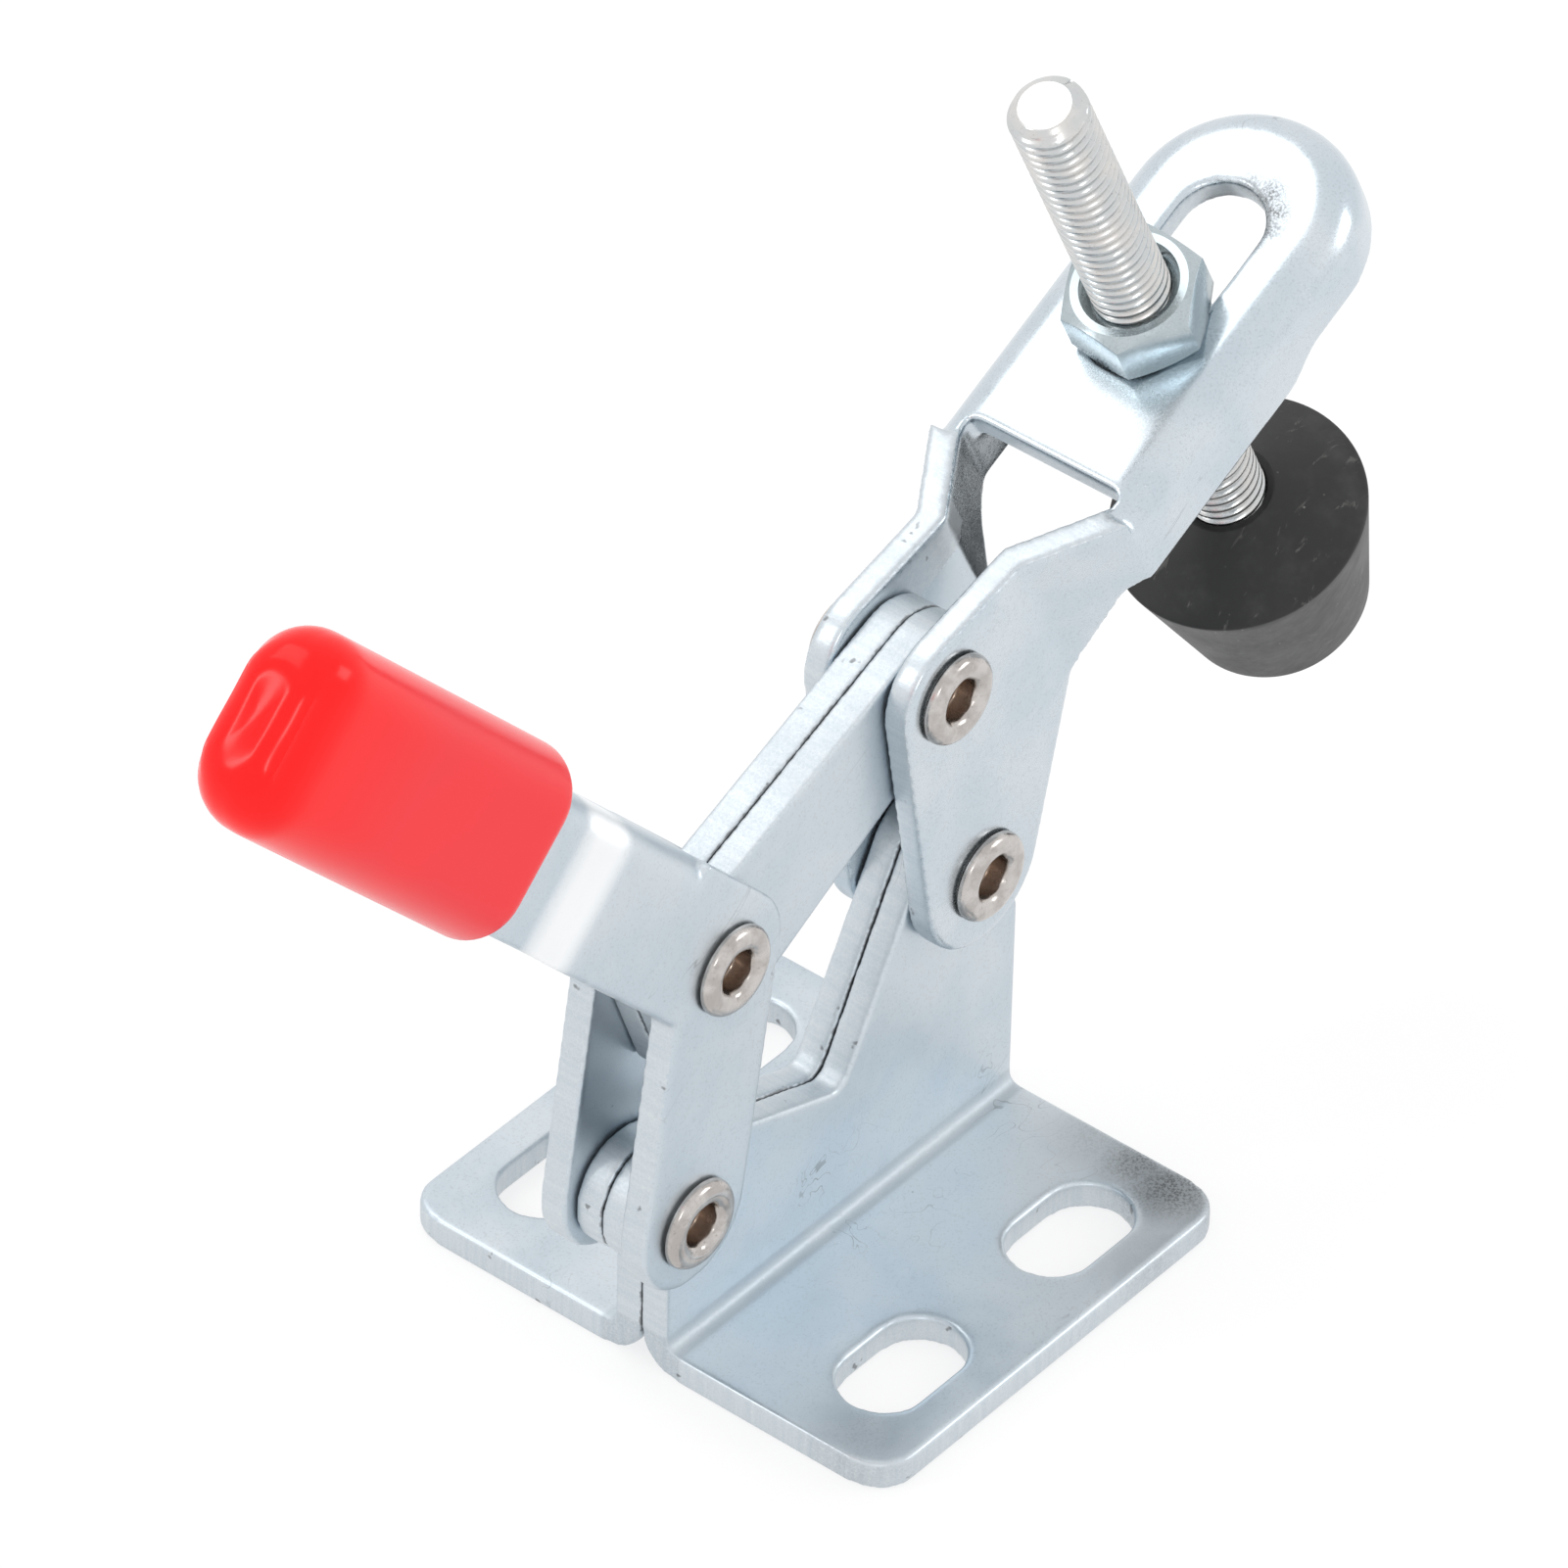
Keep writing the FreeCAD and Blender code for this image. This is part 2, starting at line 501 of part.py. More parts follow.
def make_arm(doc, size, placement):
    """Slotted plate with a rolled rim, and two ears; its own frame has the base pivot at the origin."""
    body = new_body(doc, "arm", placement)
    top, back, nose = size["plate_height"], size["plate_back"], size["nose_centre"]
    half, sheet = size["arm_half_width"], size["sheet"]
    rim_bottom = top - size["rim_depth"]
    hook_x = size["rocker"] * math.cos(math.radians(size["rocker_rise"]))
    hook_z = size["rocker"] * math.sin(math.radians(size["rocker_rise"]))

    # Plate and rim, pressed as one tray that is open below and behind
    tray = add_sketch(body, "XY_Plane", "arm_tray", outline([
        Corner(back, -half), Round(nose, 0, half), Corner(back, half),
    ]), lift=rim_bottom)
    add_pad(body, tray, "sizes.rim_depth")
    add_fillet(body, "sizes.bend_inside + sizes.sheet",
               lambda edge: lies_level(edge, top) and not at(edge.BoundBox.XMax, back))
    hollow = add_sketch(body, "XY_Plane", "arm_hollow", outline([
        Corner(back - MARGIN, sheet - half),
        Round(nose, 0, half - sheet),
        Corner(back - MARGIN, half - sheet),
    ]), lift=rim_bottom)
    add_pocket(body, hollow, "sizes.rim_depth - sizes.sheet", reverse=True)
    add_fillet(body, "sizes.bend_inside",
               lambda edge: lies_level(edge, top - sheet) and not at(edge.BoundBox.XMax, back))

    # Walls that run back from the rim, step inwards and end as the two ears
    inner = sheet + size["side_play"]
    start, end = size["step_start"], size["step_end"]
    lead = sheet * math.tan(math.atan2(half - inner - sheet, end - start) / 2)
    low = rear = -size["arm_lug"] - MARGIN
    high = hook_z + size["arm_crown"] + MARGIN
    for side, word in SIDES:
        stations = [
            Corner(rear, inner),
            Corner(start + lead, inner, size["bend_inside"]),
            Corner(end + lead, half - sheet, size["bend_inside"]),
            Corner(back, half - sheet),
            Corner(back, half),
            Corner(end, half, size["bend_inside"]),
            Corner(start, inner + sheet, size["bend_inside"]),
            Corner(rear, inner + sheet),
        ]
        if side < 0:
            stations = [Corner(item.x, -item.y, item.fillet) for item in reversed(stations)]
        wall = add_sketch(body, "XY_Plane", "arm_wall_" + word, outline(stations), lift=low)
        add_pad(body, wall, "sizes.rocker * sin(sizes.rocker_rise) + sizes.arm_crown + sizes.arm_lug + %g"
                % (2 * MARGIN))

    # The rim's roll runs on along the walls to where they step inwards
    roll = size["bend_inside"] + sheet
    for side, word in SIDES:
        stations = [
            Corner(half - roll - MARGIN, top),
            Corner(half, top, roll),
            Corner(half, top - roll - MARGIN),
            Corner(half + MARGIN, top - roll - MARGIN),
            Corner(half + MARGIN, top + MARGIN),
            Corner(half - roll - MARGIN, top + MARGIN),
        ]
        if side < 0:
            stations = [Corner(-item.x, item.y, item.fillet) for item in reversed(stations)]
        corner = add_sketch(body, "YZ_Plane", "arm_roll_" + word, outline(stations), lift=back)
        add_pocket(body, corner, "sizes.plate_back - sizes.step_end")

    # Side view: all that lies outside it is trimmed away
    far = nose + half + MARGIN
    nose_bottom = top - size["nose_depth"]
    side_view = outline([
        Round(0, 0, size["arm_lug"]),
        Corner(size["rim_root"], rim_bottom, size["arm_edge_round"]),
        Corner(size["nose_rise_start"], rim_bottom, size["arm_edge_round"]),
        Corner(size["nose_rise_start"] + size["nose_rise_length"], nose_bottom, size["arm_edge_round"]),
        Corner(far, nose_bottom),
        Corner(far, top),
        Corner(end, top),
        Round(hook_x, hook_z, size["arm_crown"]),
    ])
    frame = outline([
        Corner(rear - MARGIN, low - MARGIN), Corner(far + MARGIN, low - MARGIN),
        Corner(far + MARGIN, high + MARGIN), Corner(rear - MARGIN, high + MARGIN),
    ])
    trim = add_sketch(body, "XZ_Plane", "arm_side", side_view + frame)
    add_pocket(body, trim, "2 * sizes.arm_half_width + %g" % (2 * MARGIN), middle=True)
    holes = add_sketch(body, "XZ_Plane", "arm_holes", [])
    for x, z in ((0, 0), (hook_x, hook_z)):
        add_circle(holes, x, z, "sizes.rivet_radius")
    add_pocket(body, holes, "4 * sizes.sheet + 4 * sizes.side_play", middle=True)
    slot = add_sketch(body, "XY_Plane", "arm_slot", slot_outline(
        size["arm_slot_back"], size["arm_slot_front"], 0, size["arm_slot_width"] / 2), lift=top)
    add_pocket(body, slot, "sizes.sheet")


def make_rivet(doc, size, label, pivot):
    """Tubular rivet across a pivot, with both heads rolled over."""
    body = new_body(doc, label, Placement(pivot, Rotation()))
    seat = 2 * size["sheet"] + size["side_play"] + size["washer_thickness"]
    tip = seat + size["rivet_head_height"]
    bore, shank, head = size["rivet_bore"], size["rivet_radius"], size["rivet_head"]
    section = add_sketch(body, "XY_Plane", label + "_section", outline([
        Corner(bore, -tip, size["rivet_mouth"]), Corner(head, -tip, size["rivet_roll"]),
        Corner(head, -seat), Corner(shank, -seat), Corner(shank, seat), Corner(head, seat),
        Corner(head, tip, size["rivet_roll"]), Corner(bore, tip, size["rivet_mouth"]),
    ]))
    add_revolution(body, section)


def make_washer(doc, size, label, pivot, side):
    """Plain washer between an ear and a rivet head."""
    outer = doc.addObject("Part::Cylinder", label + "_disc")
    hole = doc.addObject("Part::Cylinder", label + "_hole")
    outer.setExpression("Radius", "sizes.washer_radius")
    hole.setExpression("Radius", "sizes.rivet_radius")
    for item in (outer, hole):
        item.setExpression("Height", "sizes.washer_thickness")
    washer = doc.addObject("Part::Cut", label)
    washer.Base, washer.Tool = outer, hole
    washer.Label = label
    face = 2 * size["sheet"] + size["side_play"]
    washer.Placement = Placement(pivot + ACROSS * side * face, Rotation(UP, ACROSS * side))


def make_spindle(doc, size, placement):
    """Threaded rod at its outside diameter, with a hexagon head at the lower end."""
    body = new_body(doc, "spindle", placement)
    top = size["plate_height"] + size["spindle_above"]
    rod = add_sketch(body, "XY_Plane", "spindle_rod", [], lift=top)
    add_circle(rod, 0, 0, "sizes.spindle_radius")
    add_pad(body, rod, "sizes.spindle_length", reverse=True)
    add_dressing(body, "PartDesign::Chamfer", "Size", "sizes.spindle_chamfer",
                 lambda edge: lies_level(edge, top))
    head = add_sketch(body, "XY_Plane", "spindle_head", hexagon(size["nut_flats"]),
                      lift=top - size["spindle_length"])
    add_pad(body, head, "sizes.head_height", reverse=True)


def make_nut(doc, size, label, placement, base):
    """Hexagon nut with bevelled corners and a countersunk bore; base is its lower face in the arm's frame."""
    body = new_body(doc, label, placement)
    height, bore = size["nut_height"], size["spindle_radius"] + size["thread_play"]
    flats, corner = size["nut_flats"] / 2, size["nut_flats"] / math.sqrt(3)
    hexagon_sketch = add_sketch(body, "XY_Plane", label + "_hexagon", hexagon(size["nut_flats"]), lift=base)
    add_circle(hexagon_sketch, 0, 0, "sizes.spindle_radius + sizes.thread_play")
    add_pad(body, hexagon_sketch, "sizes.nut_height")
    bevel, sink = size["nut_bevel"], size["nut_sink"]
    steep = bevel / (corner - flats)
    reach = corner + MARGIN
    for z, inward in ((base, 1), (base + height, -1)):
        rim = [Corner(flats, z), Corner(reach, z), Corner(reach, z + inward * steep * (reach - flats))]
        depth = z + inward * sink
        mouth = [Corner(0, z), Corner(bore + sink, z), Corner(bore, depth), Corner(0, depth)]
        for name, stations in (("rim", rim), ("mouth", mouth)):
            profile = outline(stations if inward > 0 else stations[::-1])
            word = "_%s_%s" % (name, "bottom" if inward > 0 else "top")
            cut = add_sketch(body, "XZ_Plane", label + word, profile)
            add_revolution(body, cut, "PartDesign::Groove")


def make_bumper(doc, size, placement):
    """Rubber cap over the spindle's head: a cone on top and a tapered body."""
    body = new_body(doc, "bumper", placement)
    head_top = size["plate_height"] + size["spindle_above"] - size["spindle_length"]
    neck = head_top + size["head_depth"]
    rim, face = neck - size["bumper_rim_drop"], neck - size["bumper_height"]
    soft = size["bumper_round"]
    section = add_sketch(body, "XZ_Plane", "bumper_section", outline([
        Corner(0, face), Corner(size["bumper_face"], face, soft), Corner(size["bumper_rim"], rim, soft),
        Corner(size["bumper_neck"], neck), Corner(0, neck),
    ]))
    add_revolution(body, section)
    bore = add_sketch(body, "XY_Plane", "bumper_bore", [], lift=neck)
    add_circle(bore, 0, 0, "sizes.spindle_radius + sizes.thread_play")
    add_pocket(body, bore, "sizes.head_depth")
    seat = add_sketch(body, "XY_Plane", "bumper_seat", hexagon(size["nut_flats"] + 2 * size["thread_play"]),
                      lift=head_top + size["thread_play"])
    add_pocket(body, seat, "sizes.head_height + 2 * sizes.thread_play")


def build(doc, size):
    """Every sub-part of the clamp."""
    pivots = solve_linkage(size)
    on_handle = nose_up(pivots["handle_link"], -size["tongue_rise"] - size["handle_lean"])
    on_arm = nose_up(pivots["arm_base"], pivots["arm_lift"])
    on_spindle = on_arm.multiply(Placement(FORWARD * size["spindle_reach"], Rotation()))
    for side, word in SIDES:
        make_base(doc, size, side, word)
        make_link(doc, size, pivots, side, word)
    make_handle(doc, size, on_handle)
    make_grip(doc, size, on_handle)
    make_arm(doc, size, on_arm)
    for name in ("handle_base", "handle_link", "link_arm", "arm_base"):
        make_rivet(doc, size, name + "_rivet", pivots[name])
        for side, word in SIDES:
            make_washer(doc, size, "%s_washer_%s" % (name, word), pivots[name], side)
    make_spindle(doc, size, on_spindle)
    turned = on_spindle.multiply(Placement(Vector(), Rotation(UP, size["nut_turn"])))
    make_nut(doc, size, "upper_nut", turned, size["plate_height"])
    make_nut(doc, size, "lower_nut", on_spindle, size["plate_height"] - size["sheet"] - size["nut_height"])
    make_bumper(doc, size, on_spindle)


def sub_parts(doc):
    """The objects that are written: every body and every finished boolean."""
    return [item for item in doc.Objects if item.TypeId in ("PartDesign::Body", "Part::Cut")]


def main():
    """Build every sub-part, check it and write it."""
    doc = FreeCAD.newDocument("toggle_clamp")
    size = make_sheet(doc)
    build(doc, size)
    doc.recompute()
    for item in doc.Objects:
        if "Invalid" in item.State or "Error" in item.State:
            raise RuntimeError("%s failed: %s" % (item.Name, item.State))
    bad = [item.Label for item in sub_parts(doc)
           if item.Shape.isNull() or not item.Shape.isValid() or len(item.Shape.Solids) != 1]
    if bad:
        raise RuntimeError("not one valid solid: %s" % ", ".join(bad))
    os.makedirs("parts", exist_ok=True)
    for item in sub_parts(doc):
        item.Shape.exportStep("parts/%s.step" % item.Label)
        print("%-28s %9.2f mm3" % (item.Label, item.Shape.Volume))


main()
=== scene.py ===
"""Looks of the toggle clamp: plated sheet, rolled rivets, threaded spindle, dipped grip, rubber bumper.

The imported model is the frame. Every piece is in metres, in the frame's own axes: X towards the bumper, Y to the
left, Z up. Sizes of the new pieces are read from the frame's nodes where they can be, and are named fields where
they can't.
"""

import json
import logging
import math
from collections.abc import Callable
from dataclasses import dataclass
from enum import Enum

import bmesh
import bpy
import numpy as np
from mathutils import Matrix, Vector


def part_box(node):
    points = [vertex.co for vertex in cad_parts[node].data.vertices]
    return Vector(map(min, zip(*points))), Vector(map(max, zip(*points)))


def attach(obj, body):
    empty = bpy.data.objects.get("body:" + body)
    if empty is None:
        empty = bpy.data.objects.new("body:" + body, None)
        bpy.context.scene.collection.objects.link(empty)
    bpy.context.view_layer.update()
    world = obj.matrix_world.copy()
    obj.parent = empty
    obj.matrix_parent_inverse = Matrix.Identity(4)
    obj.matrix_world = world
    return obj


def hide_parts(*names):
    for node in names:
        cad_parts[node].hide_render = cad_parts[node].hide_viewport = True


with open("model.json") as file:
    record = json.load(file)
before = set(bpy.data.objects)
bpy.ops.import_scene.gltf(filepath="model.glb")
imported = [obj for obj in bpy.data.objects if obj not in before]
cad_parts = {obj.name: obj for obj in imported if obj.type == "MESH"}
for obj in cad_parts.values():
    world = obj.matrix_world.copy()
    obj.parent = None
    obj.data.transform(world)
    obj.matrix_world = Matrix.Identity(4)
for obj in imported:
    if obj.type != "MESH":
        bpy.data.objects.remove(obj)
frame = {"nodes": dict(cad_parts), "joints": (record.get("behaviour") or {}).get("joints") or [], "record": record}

LOG = logging.getLogger("toggle_clamp")
MM = 0.001
Colour = tuple[float, float, float]
Socket = bpy.types.NodeSocket


class Slot(Enum):
    """Material slots of the record."""

    ZINC = "zinc_steel"
    NICKEL = "nickel_steel"
    BRIGHT = "bright_steel"
    RED = "red_plastic"
    BLACK = "black_rubber"


@dataclass(frozen=True)
class Station:
    """A local frame: its origin, and the directions that its along, across and up axes have in the row frame."""

    origin: np.ndarray
    along: np.ndarray
    up: np.ndarray

    @property
    def across(self) -> np.ndarray:
        """The third axis, to the left of along when up is up."""
        return np.cross(self.up, self.along)

    def place(self, along: np.ndarray, across: np.ndarray, up: np.ndarray) -> np.ndarray:
        """Points in the row frame.

        Args:
            along: distances along the first axis, of any shape.
            across: distances to the left, broadcast against the first.
            up: distances up, broadcast against the first.

        Returns:
            An array with one more axis, of three coordinates.
        """
        along, across, up = np.broadcast_arrays(along, across, up)
        return (self.origin + along[..., None] * self.along + across[..., None] * self.across
                + up[..., None] * self.up)

    def local(self, points: np.ndarray) -> np.ndarray:
        """Points of the row frame in this frame, as along, across and up."""
        return (points - self.origin) @ np.stack([self.along, self.across, self.up], axis=1)

    def turned(self, vectors: np.ndarray) -> np.ndarray:
        """Directions of the row frame in this frame."""
        return vectors @ np.stack([self.along, self.across, self.up], axis=1)

    def reach(self, node: str) -> tuple[np.ndarray, np.ndarray]:
        """Lowest and highest corner of a CAD node, measured along this frame's axes."""
        points = self.local(vertices_of(frame["nodes"][node].data))
        return points.min(axis=0), points.max(axis=0)


def vertices_of(mesh: bpy.types.Mesh) -> np.ndarray:
    """Vertex places of a mesh.

    Args:
        mesh: the mesh.

    Returns:
        An array of three columns, with a row for each vertex.
    """
    places = np.zeros(len(mesh.vertices) * 3, np.float32)
    mesh.vertices.foreach_get("co", places)
    return places.reshape(-1, 3).astype(float)


def joint_place(name: str) -> np.ndarray:
    """A hinge's place in the row frame."""
    return np.array(next(joint["pos_m"] for joint in frame["joints"] if joint["name"] == name), float)


def box_centre(node: str) -> np.ndarray:
    """Centre of a CAD node's box."""
    low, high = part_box(node)
    return (np.array(low) + np.array(high)) / 2


def direction(degrees: float) -> np.ndarray:
    """A direction in the XZ plane, by its angle above +X."""
    return np.array([math.cos(math.radians(degrees)), 0.0, math.sin(math.radians(degrees))])


def spindle_station() -> Station:
    """Frame on the bumper's pressing face, with up along the spindle.

    Returns:
        The frame.
    """
    mount = next(item for item in frame["record"]["mounts"] if item["name"] == "bumper_face")
    up = -np.array(mount["axis"], float)
    return Station(np.array(mount["pos_m"], float), np.array([up[2], 0.0, -up[0]]), up)


def arm_station() -> Station:
    """Frame at the arm's base pivot, along the arm's plate."""
    spindle = spindle_station()
    return Station(joint_place("arm_swing"), spindle.along, spindle.up)


def handle_station(tongue_rise: float = 37.5) -> Station:
    """Frame at the handle's link pivot, with along pointing from the tongue's end to the pivot.

    Args:
        tongue_rise: angle in degrees of the tongue above square to the ears.

    Returns:
        The frame.
    """
    foot, head = joint_place("handle_swing"), box_centre("handle_link_rivet")
    ears = math.degrees(math.atan2(head[2] - foot[2], head[0] - foot[0]))
    tongue = ears + 90.0 - tongue_rise
    return Station(head, -direction(tongue), -direction(tongue + 90.0))


class Graph:
    """A material's node tree, written with short calls."""

    def __init__(self, name: str) -> None:
        """Makes the material, with one shader and one output.

        Args:
            name: the material's name.
        """
        self.material = bpy.data.materials.new(name)
        self.material.use_nodes = True
        self.tree = self.material.node_tree
        self.tree.nodes.clear()
        self.shader = self.tree.nodes.new("ShaderNodeBsdfPrincipled")
        output = self.tree.nodes.new("ShaderNodeOutputMaterial")
        self.tree.links.new(self.shader.outputs[0], output.inputs["Surface"])
        self.object_place = self.tree.nodes.new("ShaderNodeTexCoord").outputs["Object"]

    def put(self, socket: Socket, value: Socket | float | tuple) -> None:
        """Links a socket to another, or gives it a constant.

        Args:
            socket: the input to fill.
            value: an output, a number, a vector or a colour.
        """
        if isinstance(value, bpy.types.NodeSocket):
            self.tree.links.new(value, socket)
        elif isinstance(value, tuple) and len(value) == 3 and socket.type == "RGBA":
            socket.default_value = (*value, 1.0)
        else:
            socket.default_value = value

    def finish(self, **values: Socket | float | tuple) -> bpy.types.Material:
        """Sets the shader's inputs by name, with _ for a space.

        Args:
            **values: what goes into each input.

        Returns:
            The finished material.
        """
        for name, value in values.items():
            self.put(self.shader.inputs[name.replace("_", " ")], value)
        return self.material

    def stretched(self, scale: tuple[float, float, float], turn: float = 0.0) -> Socket:
        """Object coordinates turned about Y and scaled, so that a pattern runs along a direction.

        Args:
            scale: repeats per metre along the turned X, Y and Z.
            turn: turn about Y in degrees, positive nose up.

        Returns:
            The vector to read the pattern at.
        """
        mapping = self.tree.nodes.new("ShaderNodeMapping")
        mapping.vector_type = "TEXTURE"
        mapping.inputs["Rotation"].default_value = (0.0, -math.radians(turn), 0.0)
        mapping.inputs["Scale"].default_value = tuple(1.0 / value for value in scale)
        self.put(mapping.inputs["Vector"], self.object_place)
        return mapping.outputs[0]

    def noise(self, scale: float = 1.0, detail: float = 2.0, roughness: float = 0.5,
              vector: Socket | None = None, distortion: float = 0.0) -> Socket:
        """Noise from 0 to 1.

        Args:
            scale: repeats per metre, or 1 where a stretched vector is given.
            detail: how many finer layers it has.
            roughness: weight of each finer layer.
            vector: where it is read, object coordinates if not given.
            distortion: how far the pattern is pulled about.

        Returns:
            The noise.
        """
        node = self.tree.nodes.new("ShaderNodeTexNoise")
        self.put(node.inputs["Vector"], vector or self.object_place)
        for name, value in (("Scale", scale), ("Detail", detail), ("Roughness", roughness),
                            ("Distortion", distortion)):
            node.inputs[name].default_value = value
        return node.outputs["Fac"]

    def cells(self, scale: float, feature: str = "F1") -> Socket:
        """Cell pattern.

        Args:
            scale: cells per metre.
            feature: F1 for the nearest point, DISTANCE_TO_EDGE for the nearest edge.

        Returns:
            The distance to that point or edge, as a share of a cell.
        """
        node = self.tree.nodes.new("ShaderNodeTexVoronoi")
        node.feature = feature
        self.put(node.inputs["Vector"], self.object_place)
        node.inputs["Scale"].default_value = scale
        return node.outputs["Distance"]

    def span(self, value: Socket, low: float, high: float, start: float = 0.0, end: float = 1.0) -> Socket:
        """A value eased from one range to another and held at its ends.

        Args:
            value: what is mapped.
            low: where the first range starts.
            high: where it ends, which may be below its start.
            start: result at the start.
            end: result at the end.

        Returns:
            The mapped value.
        """
        node = self.tree.nodes.new("ShaderNodeMapRange")
        node.interpolation_type = "SMOOTHSTEP"
        self.put(node.inputs["Value"], value)
        for name, number in (("From Min", low), ("From Max", high), ("To Min", start), ("To Max", end)):
            node.inputs[name].default_value = number
        return node.outputs["Result"]

    def step(self, operation: str, first: Socket | float, second: Socket | float = 0.0) -> Socket:
        """One arithmetic step.

        Args:
            operation: the Math node's name for it.
            first: first number.
            second: second number, where the operation has one.

        Returns:
            The result.
        """
        node = self.tree.nodes.new("ShaderNodeMath")
        node.operation = operation
        self.put(node.inputs[0], first)
        self.put(node.inputs[1], second)
        return node.outputs[0]

    def times(self, first: Socket | float, second: Socket | float) -> Socket:
        """Product of two numbers."""
        return self.step("MULTIPLY", first, second)

    def plus(self, first: Socket | float, second: Socket | float) -> Socket:
        """Sum of two numbers."""
        return self.step("ADD", first, second)

    def larger(self, first: Socket | float, second: Socket | float) -> Socket:
        """The larger of two numbers."""
        return self.step("MAXIMUM", first, second)

    def blend(self, share: Socket | float, first: Socket | Colour, second: Socket | Colour) -> Socket:
        """A colour between two.

        Args:
            share: 0 for the first, 1 for the second.
            first: first colour.
            second: second colour.

        Returns:
            The mixed colour.
        """
        node = self.tree.nodes.new("ShaderNodeMix")
        node.data_type = "RGBA"
        colours = [socket for socket in node.inputs if socket.type == "RGBA"]
        self.put(node.inputs["Factor"], share)
        self.put(colours[0], first)
        self.put(colours[1], second)
        return next(socket for socket in node.outputs if socket.type == "RGBA")

    def coordinate(self, axis: str) -> Socket:
        """One object coordinate.

        Args:
            axis: X, Y or Z.

        Returns:
            The coordinate in metres.
        """
        node = self.tree.nodes.new("ShaderNodeSeparateXYZ")
        self.put(node.inputs[0], self.object_place)
        return node.outputs[axis]

    def height(self) -> Socket:
        """Height above the underside, in metres."""
        return self.coordinate("Z")

    def sideways(self) -> Socket:
        """Distance from the clamp's middle plane, in metres."""
        return self.step("ABSOLUTE", self.coordinate("Y"))

    def along(self, angle: float) -> Socket:
        """Distance along a direction in the XZ plane.

        Args:
            angle: the direction's angle above +X, in degrees.

        Returns:
            The distance in metres.
        """
        node = self.tree.nodes.new("ShaderNodeVectorMath")
        node.operation = "DOT_PRODUCT"
        self.put(node.inputs[0], self.object_place)
        node.inputs[1].default_value = tuple(direction(angle))
        return node.outputs["Value"]

    def isoline(self, value: Socket, width: float) -> Socket:
        """1 along the thin lines where a noise crosses its middle value."""
        offset = self.step("ABSOLUTE", self.step("SUBTRACT", value, 0.5))
        return self.span(offset, width, 0.4 * width)

    def mark(self, name: str) -> Socket:
        """A number stored on the mesh.

        Args:
            name: its name.

        Returns:
            The number.
        """
        node = self.tree.nodes.new("ShaderNodeAttribute")
        node.attribute_name = name
        return node.outputs["Fac"]

    def near(self, place: tuple[float, float, float], radius: float) -> Socket:
        """A round spot.

        Args:
            place: its centre in the row frame, in metres.
            radius: where it has faded out, in metres.

        Returns:
            1 at the centre, easing to 0 at the radius.
        """
        node = self.tree.nodes.new("ShaderNodeVectorMath")
        node.operation = "DISTANCE"
        self.put(node.inputs[0], self.object_place)
        node.inputs[1].default_value = place
        return self.span(node.outputs["Value"], 0.0, radius, 1.0, 0.0)

    def relief(self, height: Socket, depth: float, under: Socket | None = None) -> Socket:
        """A bump, on top of another if given.

        Args:
            height: height as a share of the depth.
            depth: depth in metres.
            under: normal of the bump below.

        Returns:
            The normal.
        """
        node = self.tree.nodes.new("ShaderNodeBump")
        node.inputs["Strength"].default_value = 1.0
        node.inputs["Distance"].default_value = depth
        self.put(node.inputs["Height"], height)
        if under is not None:
            self.put(node.inputs["Normal"], under)
        return node.outputs["Normal"]


@dataclass(frozen=True)
class Mark:
    """A place on the plating: its centre and radius in millimetres, and how dark it is."""

    x: float
    y: float
    z: float
    radius: float
    depth: float

    def share(self, graph: Graph) -> Socket:
        """1 at the centre, easing to 0 at the radius."""
        return graph.near((self.x * MM, self.y * MM, self.z * MM), self.radius * MM)


